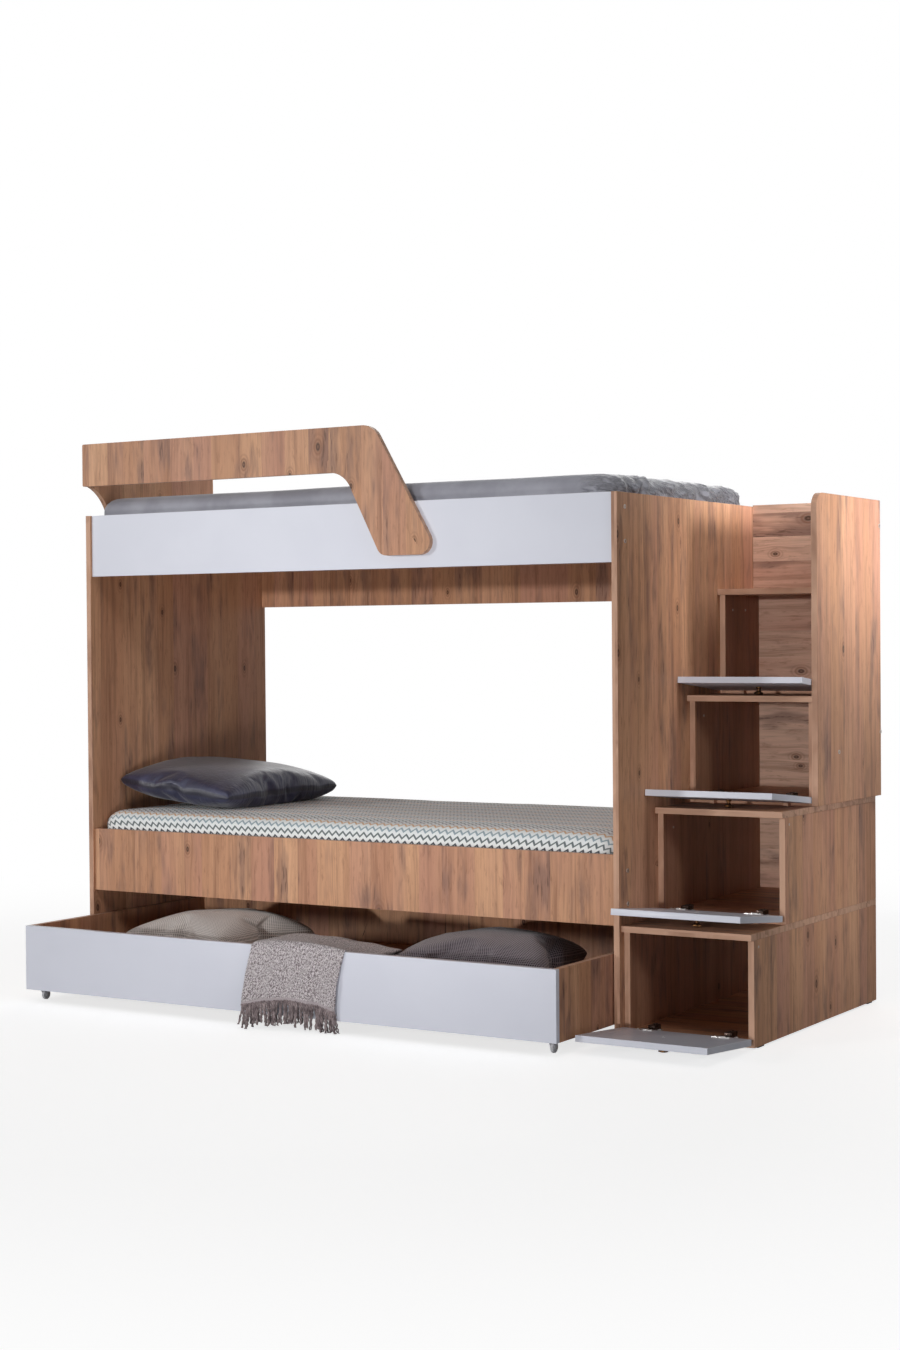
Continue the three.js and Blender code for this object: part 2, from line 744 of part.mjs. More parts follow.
function casterWheelForm() {
  const half = casterWheelWidth / 2;
  const bore = casterAxleRadius + casterBoreClearance;
  const shoulder = casterWheelRadius - casterTreadRadius;
  const points = [[bore, -half], [shoulder, -half]];
  const steps = 3;
  for (let i = 1; i <= steps; i += 1) {
    const angle = (i / steps - 1) * Math.PI / 2;
    points.push([
      shoulder + casterTreadRadius * Math.cos(angle),
      -half + casterTreadRadius + casterTreadRadius * Math.sin(angle),
    ]);
  }
  const mirrored = points.map(([r, h]) => [r, -h]).reverse();
  const loop = [...points, ...mirrored, points[0]].map(([r, h]) => new THREE.Vector2(r, h));
  const geometry = welded(new THREE.LatheGeometry(loop, 28));
  geometry.rotateZ(Math.PI / 2);
  return geometry;
}

for (const [sideName, side] of [['left', -1], ['right', 1]]) {
  casterPlaces.forEach((y, index) => {
    const place = `${index === 0 ? 'front' : 'rear'}_${sideName}`;
    const fork = addMesh(drawer, `caster_fork_${place}`, casterForkForm(), caster());
    fork.position.set(side * casterX, y, 0);
    const wheel = addMesh(drawer, `caster_wheel_${place}`, casterWheelForm(), tyre());
    wheel.position.set(side * casterX, y + casterTrail, casterWheelRadius);
  });
}

// Two cushions that lie in the drawer
function drawerCushion(name, color, x, turn) {
  const cushion = addMesh(drawer, name, stuffedForm({
    length: cushionLength,
    width: cushionWidth,
    thickness: cushionThickness,
    drawIn: cushionDrawIn,
    restShare: 0.85,
    cornerRise: cushionThickness * 0.1,
  }), finish(color, 0.95));
  cushion.rotation.z = turn;
  settle(cushion, x, drawerInner + cushionFromFront, drawerBaseTop);
}
drawerCushion('pale_cushion', 0xb4aaa5, -drawerHalf + paleCushionFromLeft, paleCushionTurn);
drawerCushion('dark_cushion', 0x50464b, drawerHalf - darkCushionFromRight, darkCushionTurn);

// Throw: a folded pile behind the drawer front whose top layer runs over it and hangs down
function throwForm() {
  const columns = 26;
  const hangSteps = 9;
  const bendSteps = 3;
  const inside = drawerInner + seatGap;
  const outside = drawerFront - seatGap;
  const ledge = drawerTop + seatGap;
  const floor = drawerBaseTop + seatGap;
  const pileTop = drawerTop + throwThickness - throwPileTopDrop;
  const pileEnd = inside + throwPileDepth;
  const left = -drawerHalf + throwFromLeft;
  const loops = [];
  for (let c = 0; c <= columns; c += 1) {
    const share = c / columns;
    const wave = 0.5 + 0.5 * Math.sin((share * throwFoldCount + 0.2) * 2 * Math.PI);
    const loop = [];
    const put = (y, z, spread) => {
      const width = throwWidth + (throwPileWidth - throwWidth) * spread;
      const drawn = spread === 0 ? throwSideDrawIn * Math.max(0, (ledge - z) / ledge) : 0;
      loop.push(new THREE.Vector3(left + (width - drawn) * share, y, z));
    };
    const swing = (z) => {
      const down = (ledge - z) / (ledge - throwHemLift);
      return throwFlare * (1 - share) * down ** 3 + throwFoldDepth * wave * Math.min(1, 2 * down);
    };
    const hang = (i) => ledge + (throwHemLift - ledge) * i / hangSteps;
    for (let i = 0; i <= hangSteps; i += 1) put(outside - swing(hang(i)), hang(i), 0);
    for (let i = hangSteps; i >= 1; i -= 1) {
      put(outside - throwThickness - swing(hang(i)), hang(i), 0);
    }
    for (let i = 0; i <= bendSteps; i += 1) {
      const angle = i / bendSteps * Math.PI / 2;
      put(
        outside - throwThickness + throwBend * (1 - Math.cos(angle)),
        ledge + throwThickness - throwBend * (1 - Math.sin(angle)), 0,
      );
    }
    put(inside - throwThickness, ledge + throwThickness, 0);
    put(inside + throwPileDepth * 0.12, pileTop + 0.6 * throwPileTopDrop, 0.35);
    put(inside + throwPileDepth * 0.32, pileTop, 0.75);
    put(inside + throwPileDepth * 0.6, pileTop, 1);
    for (let i = 0; i <= bendSteps; i += 1) {
      const angle = i / bendSteps * Math.PI / 2;
      put(
        pileEnd - 2 * throwBend * (1 - Math.sin(angle)),
        pileTop - 2 * throwBend * (1 - Math.cos(angle)), 1,
      );
    }
    put(pileEnd, floor, 1);
    put(inside, floor, 0.35);
    put(inside, ledge, 0.1);
    loops.push(loop);
  }
  const count = loops[0].length;
  const faces = [];
  for (let c = 0; c < columns; c += 1) {
    for (let k = 0; k < count; k += 1) {
      const a = c * count + k;
      const b = c * count + (k + 1) % count;
      faces.push(a, b + count, b, a, a + count, b + count);
    }
  }
  for (const [start, flipped] of [[0, true], [columns * count, false]]) {
    const outline = loops[start / count].map((p) => new THREE.Vector2(p.y, p.z));
    for (const [a, b, c] of THREE.ShapeUtils.triangulateShape(outline, [])) {
      if (flipped) faces.push(start + a, start + c, start + b);
      else faces.push(start + a, start + b, start + c);
    }
  }
  const geometry = new THREE.BufferGeometry().setFromPoints(loops.flat());
  geometry.setIndex(faces);
  geometry.computeVertexNormals();
  return geometry;
}
addMesh(drawer, 'throw', throwForm(), finish(0xbeb4b6, 0.95));

// The origin is the middle of the part's outline on the floor
bed.updateMatrixWorld(true);
const bounds = new THREE.Box3().setFromObject(bed, true);
const middle = bounds.getCenter(new THREE.Vector3());
bed.position.set(-middle.x, -middle.y, -bounds.min.z);

const part = new THREE.Group();
part.name = 'triple_bunk_bed';
part.add(bed);

export default part;
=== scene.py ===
import json
from functools import partial, partialmethod
from math import copysign, cos, exp, hypot, pi, radians, sin, tau

import bmesh
import bpy
from mathutils import Matrix, Vector, noise


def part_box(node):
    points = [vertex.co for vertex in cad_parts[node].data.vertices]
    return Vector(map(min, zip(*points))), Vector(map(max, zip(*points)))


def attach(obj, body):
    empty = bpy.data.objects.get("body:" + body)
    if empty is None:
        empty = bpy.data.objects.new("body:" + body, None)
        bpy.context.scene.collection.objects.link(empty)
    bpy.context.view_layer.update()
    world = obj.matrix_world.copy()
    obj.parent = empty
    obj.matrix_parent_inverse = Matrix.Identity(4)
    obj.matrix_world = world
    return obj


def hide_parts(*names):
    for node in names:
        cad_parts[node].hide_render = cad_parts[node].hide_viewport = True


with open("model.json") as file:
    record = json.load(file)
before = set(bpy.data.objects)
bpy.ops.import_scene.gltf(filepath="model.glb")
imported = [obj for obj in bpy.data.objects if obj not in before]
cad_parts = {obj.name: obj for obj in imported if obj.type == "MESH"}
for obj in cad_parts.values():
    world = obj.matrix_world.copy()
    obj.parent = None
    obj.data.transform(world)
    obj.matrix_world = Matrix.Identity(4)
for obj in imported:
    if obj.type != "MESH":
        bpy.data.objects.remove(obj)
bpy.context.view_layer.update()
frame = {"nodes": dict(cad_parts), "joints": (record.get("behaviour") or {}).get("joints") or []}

# Camera
# A level studio camera to the right of the bed's middle, about as high as a seated eye.
# Its place, turn and focal length come from fitting the boards' corners in the photograph.
camera_place = (3.5934, -5.7363, 1.1277)
camera_yaw, camera_pitch, camera_roll = (radians(a) for a in (31.74, -0.96, -0.45))
camera_focal_px = 2189.68
photo_height_px = 1350
sensor_mm = 36.0
scene = bpy.context.scene


def placed(name, data):
    """An object that holds this data, in the scene."""
    made = bpy.data.objects.new(name, data)
    scene.collection.objects.link(made)
    return made


camera = placed("camera", bpy.data.cameras.new("camera"))
turned = Matrix.Rotation(camera_yaw, 4, "Z") @ Matrix.Rotation(pi / 2 + camera_pitch, 4, "X")
camera.matrix_world = Matrix.Translation(camera_place) @ turned @ Matrix.Rotation(camera_roll, 4, "Z")
camera.data.sensor_width = sensor_mm
camera.data.lens = camera_focal_px * sensor_mm / photo_height_px
camera.data.clip_end = 100
scene.camera = camera
scene.view_settings.view_transform = "Standard"


def feed(tree, socket, value):
    """Links a socket to what feeds it, or sets its plain value."""
    value = value.socket if isinstance(value, Wire) else value
    if isinstance(value, bpy.types.NodeSocket):
        tree.links.new(value, socket)
    else:
        socket.default_value = value


def wire(tree, kind, settings=None, output=0, **links):
    """A node with its settings and what feeds its sockets, _0 being the first. Gives one output."""
    made = tree.nodes.new(kind if "Node" in kind else "GeometryNode" + kind)
    for key, value in (settings or {}).items():
        setattr(made, key, value)
    for key, value in links.items():
        feed(tree, made.inputs[int(key[1:]) if key[1:].isdigit() else key.replace("_", " ")], value)
    return made.outputs[output] if made.outputs else None


class Wire:
    """A shader socket that does sums like a number."""

    def __init__(self, finish, socket):
        self.finish, self.socket = finish, socket

    def math(self, operation, other=0.0, clamp=False):
        return self.finish.node("Math", {"operation": operation, "use_clamp": clamp}, _0=self, _1=other)

    __add__ = __radd__ = partialmethod(math, "ADD")
    __sub__ = partialmethod(math, "SUBTRACT")
    __mul__ = __rmul__ = partialmethod(math, "MULTIPLY")
    __truediv__ = partialmethod(math, "DIVIDE")
    __pow__ = partialmethod(math, "POWER")
    __abs__ = partialmethod(math, "ABSOLUTE")
    fract = partialmethod(math, "FRACT")

    def __rsub__(self, other):
        return (self * -1) + other

    def ripple(self):
        """A sine that runs from 0 to 1."""
        return self.math("SINE") * 0.5 + 0.5

    def clamp(self):
        return self.math("ADD", 0.0, clamp=True)

    def between(self, low, high):
        """0 below low and 1 above high, with a smooth rise."""
        settings = {"interpolation_type": "SMOOTHSTEP"}
        return self.finish.node("MapRange", settings, Value=self, From_Min=low, From_Max=high)


def srgb(red, green, blue):
    """A colour read off the photograph, 0 to 255, as the shader wants it."""
    linear = [(c / 255 / 12.92) if c <= 10 else ((c / 255 + 0.055) / 1.055) ** 2.4 for c in (red, green, blue)]
    return (*linear, 1.0)


class Finish:
    """One surface finish: a material with its node tree."""

    def __init__(self, name):
        self.material = bpy.data.materials.new(name)
        self.material.use_nodes = True
        self.tree = self.material.node_tree
        self.shader = self.tree.nodes["Principled BSDF"]
        self.place = self.node("TexCoord", output="Object")

    def node(self, kind, settings=None, output=0, **links):
        """A shader node of this finish, wired like any other."""
        return Wire(self, wire(self.tree, "ShaderNode" + kind, settings, output, **links))

    def part(self, vector, axis):
        return self.node("SeparateXYZ", output="XYZ".index(axis), _0=vector)

    def cloth(self):
        """How far across and along the flat cloth a place lies, in metres."""
        flat = self.node("TexCoord", output="UV")
        return self.part(flat, "X"), self.part(flat, "Y")

    def mix(self, factor, first, second):
        return self.node("Mix", {"data_type": "RGBA"}, 2, _0=factor, _6=first, _7=second)

    def noise(self, at, detail=3.0, rough=0.5, scale=1.0):
        """Noise over three coordinates."""
        if isinstance(at, tuple):
            at = self.node("CombineXYZ", X=at[0], Y=at[1], Z=at[2])
        return self.node("TexNoise", Vector=at, Scale=scale, Detail=detail, Roughness=rough)

    def grain(self, scale, detail=3.0, rough=0.5):
        """Noise over the piece's own place."""
        return self.noise(self.place, detail, rough, scale)

    def surface(self, **values):
        """Sets the shader's own sockets: links for what varies, plain values for the rest."""
        for key, value in values.items():
            feed(self.tree, self.shader.inputs[key.replace("_", " ")], value)

    def bump(self, height, strength, distance):
        self.surface(Normal=self.node("Bump", Height=height, Strength=strength, Distance=distance))


# Studio
# A white paper floor that fades into a white surround, low lamps from the front left, front and
# right, weak ones from above and behind, and softboxes at the stair's side and on the floor.
floor_level = -0.0008
floor_reach = 14.0
floor_tone = 0.5
floor_lift = 0.72
fade_start, fade_end = 1.9, 4.2
suns = {
    "key_lamp": ((-0.60, -0.78, 0.20), 0.78, 6.0),
    "front_lamp": ((0.05, -1.00, 0.045), 0.86, 2.0),
    "right_lamp": ((0.90, -0.30, 0.35), 0.32, 8.0),
    "sky_lamp": ((0.15, -0.35, 1.00), 0.34, 40.0),
    "back_lamp": ((-0.35, 0.85, 0.40), 0.42, 25.0),
}
softboxes = {
    "high_softbox": ((3.0, 0.3, 3.2), (1.2, 0.6, 1.6), (0.6, 0.6), 1.8, 40.0),
    "side_softbox": ((3.6, 0.2, 1.9), (1.1, 0.6, 1.5), (0.6, 0.6), 3.3, 30.0),
    "floor_softbox": ((0.6, -2.0, 0.02), (-1.15, 0.3, 1.45), (1.6, 0.8), 9.0, 80.0),
    "stair_softbox": ((3.6, 0.7, 0.5), (1.2, 0.3, 0.45), (0.5, 0.5), 0.42, 24.0),
}
surround_light = 0.06

world = bpy.data.worlds.new("surround")
scene.world = world
world.use_nodes = True
tree = world.node_tree
background = tree.nodes["Background"]
rays = wire(tree, "ShaderNodeLightPath").node.outputs
seen = rays["Is Camera Ray"]
for ray in ("Is Glossy Ray", "Is Transmission Ray"):
    seen = wire(tree, "ShaderNodeMath", {"operation": "MAXIMUM"}, _0=seen, _1=rays[ray])
level = wire(tree, "ShaderNodeMapRange", Value=seen, To_Min=surround_light, To_Max=1.0)
feed(tree, background.inputs["Strength"], level)
feed(tree, background.inputs["Color"], (1.0, 1.0, 1.0, 1.0))

paper = Finish("paper")
away = paper.node("VectorMath", {"operation": "LENGTH"}, "Value", _0=paper.place)
fade = away.between(fade_start, fade_end)
camera_ray = paper.node("LightPath", output="Is Camera Ray")
paper.surface(
    Base_Color=(floor_tone, floor_tone, floor_tone, 1.0), Roughness=0.9,
    Emission_Color=(1.0, 1.0, 1.0, 1.0), Emission_Strength=camera_ray * floor_lift,
)
glow = paper.node("Emission", Color=(1.0, 1.0, 1.0, 1.0), Strength=camera_ray)
blend = paper.node("MixShader", _0=fade, _1=paper.shader.outputs[0], _2=glow)
feed(paper.tree, paper.tree.nodes["Material Output"].inputs["Surface"], blend)
floor_mesh = bpy.data.meshes.new("floor")
corners = [(x * floor_reach, y * floor_reach, floor_level) for x, y in ((-1, -1), (1, -1), (1, 1), (-1, 1))]
floor_mesh.from_pydata(corners, [], [(0, 1, 2, 3)])
floor_mesh.materials.append(paper.material)
floor = placed("floor", floor_mesh)

for name, (direction, strength, spread) in suns.items():
    data = bpy.data.lights.new(name, "SUN")
    data.energy, data.angle = strength, radians(spread)
    placed(name, data).rotation_euler = Vector(direction).to_track_quat("Z", "Y").to_euler()
for name, (place, aim, sides, power, spread) in softboxes.items():
    data = bpy.data.lights.new(name, "AREA")
    data.shape, data.size, data.size_y = "RECTANGLE", sides[0], sides[1]
    data.energy, data.spread = power, radians(spread)
    lamp = placed(name, data)
    facing = (Vector(place) - Vector(aim)).to_track_quat("Z", "Y").to_matrix().to_4x4()
    lamp.matrix_world = Matrix.Translation(place) @ facing
    lamp.visible_camera = False


# Oak boards: end panels, rails, back panels and bases
# 18 mm chipboard faced with a printed oak decor of narrow staves with knots, cracks and smoky
# patches. Cut edges carry a paler edge band, and the panels stand on black plastic glides.
stave_width = 0.088
edge_radius = 0.0008
glide_height = 0.004
oak_pale, oak_mid, oak_deep = srgb(222, 173, 136), srgb(192, 141, 108), srgb(136, 93, 70)
oak_rose, oak_smoke = srgb(194, 142, 122), srgb(126, 97, 88)
# Painted light: box backs and the landing back get paler, greyer colours for the light falling straight into
# the boxes from the front.
painted_light_pale, painted_light_mid = srgb(238, 201, 178), srgb(212, 172, 149)
# Painted shade: the boxes' left walls get darker colours for the shade inside the boxes.
painted_shade_pale, painted_shade_mid = srgb(184, 140, 110), srgb(158, 114, 88)
oak_knot, oak_crack = srgb(64, 40, 30), srgb(70, 44, 34)
oak_edge, glide_black = srgb(206, 164, 138), srgb(26, 24, 24)
knot_columns, knot_rows = 4.6, 2.3


def oak_finish(name, face, grain, pale=oak_pale, mid=oak_mid):
    """Decor for boards whose broad face looks along one axis, with its grain along another."""
    oak = Finish(name)
    across = next(axis for axis in "XYZ" if axis not in (face, grain))
    u, v, w = (oak.part(oak.place, axis) for axis in (across, grain, face))
    layer = w * 3.7

    # Staves of uneven width, each cut from another part of the tree
    line = {"voronoi_dimensions": "1D"}
    stave = oak.node("TexVoronoi", line, "Color", W=(u + layer) / stave_width, Scale=1.0, Randomness=0.85)
    tone, hue, shift = (oak.part(stave, axis) for axis in "XYZ")
    side = layer + shift * 5
    v = v + tone * 3

    # Knots push the grain round themselves
    spot = oak.node("CombineXYZ", X=u * knot_columns, Y=v * knot_rows, Z=side)
    cell = {"Vector": spot, "Scale": 1.0, "Randomness": 0.9}
    at = oak.node("TexVoronoi", output="Position", **cell)
    chance = oak.part(oak.node("TexVoronoi", output="Color", **cell), "X")
    du = oak.part(at, "X") / knot_columns - u
    dv = (oak.part(at, "Y") / knot_rows - v) * 0.6
    reach = ((du * du + dv * dv) ** 0.5) / (chance * 0.006 + 0.0035)
    present = chance.between(0.32, 0.34)
    pull = (1 - reach.between(0.3, 7.0)) * present
    sway = oak.noise((u * 8, v * 3.4, side + 2), 2.0) - 0.5
    bent = u + du * pull * 0.5 + sway * 0.016

    def figure(across, along, deeper=0, detail=1.0, rough=0.5):
        return oak.noise((bent * across, v * along, side + deeper), detail, rough)

    broad, blush = figure(11, 0.9), figure(7, 1.1, 9)
    lines = (bent * 520 + broad * 60).ripple() * broad.between(0.35, 0.6)
    streak, fibre = figure(46, 1.3, 0, 4.0, 0.72), figure(420, 12, 0, 1.0, 0.6)
    smoke, fleck = figure(12, 2.4, 4, 3.0, 0.7), figure(95, 17, 6, 3.0, 0.7)
    crack = figure(150, 13, 0, 2.0, 0.7).between(0.56, 0.64) * smoke.between(0.56, 0.66)
    pore = fibre.between(0.62, 0.76)
    halo = (reach * 5.5).ripple() * (1 - reach.between(0.9, 3.6)) * present
    core = (1 - reach.between(0.5, 1.2)) * (reach.between(0.1, 0.6) * 0.5 + 0.4) * present

    colour = oak.mix((broad * 0.9 + tone * 0.35 - 0.12).between(0.1, 0.95), mid, pale)
    for share, ink in (
        ((hue * 0.4 + blush * 0.9).between(0.5, 0.95) * 0.7, oak_rose),
        (streak.between(0.42, 0.78) * 0.75, oak_deep),
        (lines * 0.13, oak_deep),
        (fleck.between(0.52, 0.74) * 0.45, oak_deep),
        (smoke.between(0.50, 0.70) * 0.66, oak_smoke),
        (pore * 0.20, oak_crack),
        (crack * 0.55, oak_crack),
        (halo * 0.7, oak_deep),
        (core, oak_knot),
    ):
        colour = oak.mix(share, colour, ink)

    # Edge band on every cut edge, and the glides under the panels
    facing = abs(oak.part(oak.node("TexCoord", output="Normal"), face))
    edge_band = oak.mix(streak.between(0.42, 0.68) * 0.7, oak_edge, oak_deep)
    colour = oak.mix(1 - facing.between(0.3, 0.8), colour, edge_band)
    low = 1 - oak.part(oak.place, "Z").between(glide_height - 0.0004, glide_height + 0.0002)
    colour = oak.mix(low, colour, glide_black)
    oak.surface(Base_Color=colour, Roughness=fibre * 0.15 + pore * 0.12 + 0.40, Specular_IOR_Level=0.28)
    oak.bump(oak.noise((u * 300, v * 9, side), 1.0), 0.25, 0.0005)
    return oak.material


def dress(material, *nodes, radius=edge_radius):
    """Gives pieces of the frame their surface and breaks their sharp edges."""
    for board in (frame["nodes"][node] for node in nodes):
        board.data.materials.clear()
        board.data.materials.append(material)
        if radius:
            joined = board.modifiers.new("joined", "WELD")
            joined.merge_threshold = 0.00002
            softened = board.modifiers.new("softened", "BEVEL")
            softened.width, softened.segments = radius, 2
            softened.limit_method, softened.angle_limit = "ANGLE", radians(35)


oak_side = oak_finish("oak_side", "X", "Z")
oak_front = oak_finish("oak_front", "Y", "Z")
oak_level = oak_finish("oak_level", "Z", "X")
oak_across_painted_light = oak_finish("oak_across_painted_light", "Y", "X", painted_light_pale, painted_light_mid)
oak_inner_painted_shade = oak_finish("oak_inner_painted_shade", "X", "Z", painted_shade_pale, painted_shade_mid)
dress(oak_side, "left_end_panel", "right_end_panel")
dress(oak_front, "lower_front_rail", "upper_back_panel", "lower_back_panel")
dress(oak_level, "upper_bed_base", "lower_bed_base")


# White fronts: the upper rail, the drawer front and the four flaps
# The same board faced in a smooth satin white with a faint cool cast, white on its edges too.
white = Finish("white_board")
cloud = white.grain(5.0, 2.0)
white.surface(
    Base_Color=white.mix(cloud.between(0.35, 0.65) * 0.35, srgb(220, 222, 233), srgb(212, 214, 226)),
    Roughness=cloud * 0.08 + 0.28, Specular_IOR_Level=0.45,
)
white.bump(white.grain(900.0, 1.0), 0.05, 0.0003)
dress(white.material, "upper_front_rail", "drawer_front", "flap_1", "flap_2", "flap_3", "flap_4")


# Guard
# The long front board turns into a leaning leg that is screwed to the rail from behind, and the
# short end board stands on the left panel with its front lower corner scooped away.
dress(oak_front, "guard_front_board")
dress(oak_side, "guard_end_board")


# Stair boxes
# Each box is five boards, glued and screwed, that stands on the tread of the box below. Its back
# is painted paler and greyer than the decor, as painted light falling straight in from the front, and
# its left wall darker, as painted shade inside the box.
for n in (1, 2, 3, 4):
    dress(oak_level, f"tread_{n}", f"box_{n}_floor")
    dress(oak_inner_painted_shade, f"box_{n}_left_wall")
    dress(oak_side, f"box_{n}_right_wall")
    dress(oak_across_painted_light, f"box_{n}_back")
dress(oak_across_painted_light, "landing_back_panel")
dress(oak_side, "side_panel")


# Cover caps and screws
# Pressed caps over the fittings: on the outer faces of the end panel and the side panel, and
# small screw heads inside the boxes. A Geometry Nodes tree sets one dished head on each point.
cap_radius, cap_height, cap_sink = 0.0060, 0.0022, 0.0004
screw_share, dish_share, head_sides = 0.55, 0.62, 20
panel_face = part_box("right_end_panel")[1][0]
side_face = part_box("side_panel")[1][0]
bed_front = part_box("right_end_panel")[0][1]
caps_on_panel = [(0.048, 1.495), (0.049, 1.398), (0.052, 0.468), (0.052, 0.374)]
caps_on_side = [(0.606, 0.785), (0.942, 1.462), (0.946, 0.831)]
screws_in_left_walls = [(4, 0.055, 0.045), (4, 0.150, 0.045), (3, 0.060, 0.045), (2, 0.065, 0.045)]
screws_in_right_walls = [(1, 0.03, 0.02), (2, 0.03, 0.02)]


def mesh_object(name, points, faces=(), material=None, uvs=()):
    """A piece from its points and faces, in the row frame, with one UV pair for each point."""
    mesh = bpy.data.meshes.new(name)
    mesh.from_pydata(points, [], faces)
    mesh.shade_smooth()
    if material:
        mesh.materials.append(material)
        layer = mesh.uv_layers.new(name="cloth")
        for loop in mesh.loops:
            layer.data[loop.index].uv = uvs[loop.vertex_index]
    return placed(name, mesh)


def grid_faces(lines, count, closed=False):
    """Faces between neighbouring lines of count points each."""
    return [
        (r * count + i, r * count + (i + 1) % count, (r + 1) * count + (i + 1) % count, (r + 1) * count + i)
        for r in range(lines - 1) for i in range(count if closed else count - 1)
    ]


def tree_group(name, **inputs):
    """An empty Geometry Nodes tree with named inputs: the tree, what adds its nodes, what comes in."""
    group = bpy.data.node_groups.new(name, "GeometryNodeTree")
    group.interface.new_socket("Geometry", in_out="OUTPUT", socket_type="NodeSocketGeometry")
    for label, kind in {"Geometry": "Geometry", **inputs}.items():
        group.interface.new_socket(label.replace("_", " "), in_out="INPUT", socket_type="NodeSocket" + kind)
    return group, partial(wire, group), group.nodes.new("NodeGroupInput").outputs


def sums(add, operation, first, second=0.0):
    """One sum of a Geometry Nodes tree."""
    return add("ShaderNodeMath", {"operation": operation}, _0=first, _1=second)


def end_tree(add, shape, material):
    """The last nodes of a tree: real geometry in its material."""
    real = add("RealizeInstances", Geometry=shape)
    add("NodeGroupOutput", Geometry=add("SetMaterial", Geometry=real, Material=material))


def settled(piece):
    """A new mesh: the piece as its modifiers leave it."""
    return bpy.data.meshes.new_from_object(piece.evaluated_get(bpy.context.evaluated_depsgraph_get()))


def grow(piece, group, values):
    """Runs a Geometry Nodes tree on a piece with these inputs and keeps the mesh it makes."""
    modifier = piece.modifiers.new("grow", "NODES")
    modifier.node_group = group
    for item in group.interface.items_tree:
        if item.in_out == "INPUT" and item.name in values:
            modifier[item.identifier] = values[item.name]
    piece.update_tag()
    shape = settled(piece)
    piece.modifiers.remove(modifier)
    shape.materials.clear()
    shape.materials.append(values["Material"])
    shape.polygons.foreach_set("material_index", [0] * len(shape.polygons))
    piece.data = shape


steel = Finish("steel")
brushed = steel.grain(700.0, 2.0)
steel.surface(
    Base_Color=steel.mix(brushed, srgb(196, 194, 192), srgb(228, 226, 224)),
    Metallic=0.9, Roughness=brushed * 0.25 + 0.22,
)
steel.bump(brushed, 0.1, 0.0002)

heads, add, given = tree_group("set_heads", Radius="Float", Height="Float", Material="Material")
disc, dish = (
    add("MeshCylinder", Vertices=head_sides, Radius=size, Depth=given["Height"])
    for size in (given["Radius"], sums(add, "MULTIPLY", given["Radius"], dish_share))
)
lift = add("ShaderNodeCombineXYZ", Z=given["Height"])
raised = add("Transform", Geometry=dish, Translation=lift)
hollow = add("MeshBoolean", {"operation": "DIFFERENCE"}, _0=disc, _1=raised)
facing = add("InputNamedAttribute", {"data_type": "FLOAT_VECTOR"}, Name="facing")
share = add("InputNamedAttribute", {"data_type": "FLOAT"}, Name="size")
turn = add("FunctionNodeAlignRotationToVector", {"axis": "Z"}, Vector=facing)
set_on = add("InstanceOnPoints", Points=given["Geometry"], Instance=hollow, Rotation=turn, Scale=share)
end_tree(add, set_on, given["Material"])


def set_heads(name, spots, material, body):
    """Screw or cap heads at (place, direction they face, share of the full size)."""
    piece = mesh_object(name, [spot for spot, _, _ in spots])
    piece.data.attributes.new("facing", "FLOAT_VECTOR", "POINT")
    piece.data.attributes.new("size", "FLOAT", "POINT")
    for index, (_, facing, share) in enumerate(spots):
        piece.data.attributes["facing"].data[index].vector = facing
        piece.data.attributes["size"].data[index].value = share
    grow(piece, heads, {"Radius": cap_radius, "Height": cap_height, "Material": material})
    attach(piece, body)


lift_off = cap_height / 2 - cap_sink
spots = [((panel_face + lift_off, bed_front + y, z), (1, 0, 0), 1.0) for y, z in caps_on_panel]
spots += [((side_face + lift_off, bed_front + y, z), (1, 0, 0), 1.0) for y, z in caps_on_side]
for side, screws in (("left", screws_in_left_walls), ("right", screws_in_right_walls)):
    for n, back, drop in screws:
        low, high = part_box(f"box_{n}_{side}_wall")
        place = (high[0] + lift_off * screw_share, low[1] + back, high[2] - drop)
        spots.append((place, (1, 0, 0), screw_share))
set_heads("cover_caps", spots, steel.material, "bed_frame")


# Hinges of the flaps
# Each flap hangs on two clip-on hinges: a pressed cup plate with a lipped cup and a dark jaw on the
# flap, and a dark arm with its screws and a pair of wings on the box floor.
hinge_half_spacing = 0.117
face_depth = 0.0167                     # the flap's inner face, from its hinge axis when shut
cup_center = 0.0215
plate_half, plate_depth, plate_thickness = 0.0265, 0.018, 0.0024
cup_radius, cup_height, cup_lip = 0.0125, 0.0043, 0.0018
jaw_half, jaw_start, jaw_height = 0.0062, 0.0175, 0.0041
floor_drop = 0.008                      # the box floor's top, from the hinge axis
arm_start, arm_length, arm_half, arm_height = 0.0214, 0.0408, 0.0115, 0.0170
wing_start, wing_depth, wing_half, wing_height = 0.0370, 0.0144, 0.0225, 0.0037
arm_screws = (0.22, 0.45, 0.86)         # along the arm, as shares of its length
screw_inset = 0.006                     # from the end of a plate or wing
seat = 0.0004                           # how far a plate is let in, and the roundings of a cup
screw_outline = [
    (0, 0.0), (0.0034, 0.0), (0.0034, 0.0007), (0.0022, 0.0013), (0.0011, 0.0013), (0.0009, 0.0006),
    (0, 0.0006),
]
cup_outline = [
    (cup_radius, 0.0), (cup_radius, cup_height - seat), (cup_radius - seat, cup_height),
    (cup_radius - cup_lip, cup_height), (cup_radius - cup_lip - 0.0003, cup_height - 0.0002),
    (0, cup_height - 0.0002),
]
open_angle = {1: 85.507, 2: 84.101, 3: 84.101, 4: 84.101}
knob_level = {1: 0.13975, 2: 0.14285, 3: 0.14285, 4: 0.14285}

dark_metal = Finish("burnished_metal")
worn = dark_metal.grain(260.0, 3.0)
dark_metal.surface(
    Base_Color=dark_metal.mix(worn.between(0.35, 0.7), srgb(48, 36, 32), srgb(104, 88, 80)),
    Metallic=0.85, Roughness=worn * 0.3 + 0.2,
)


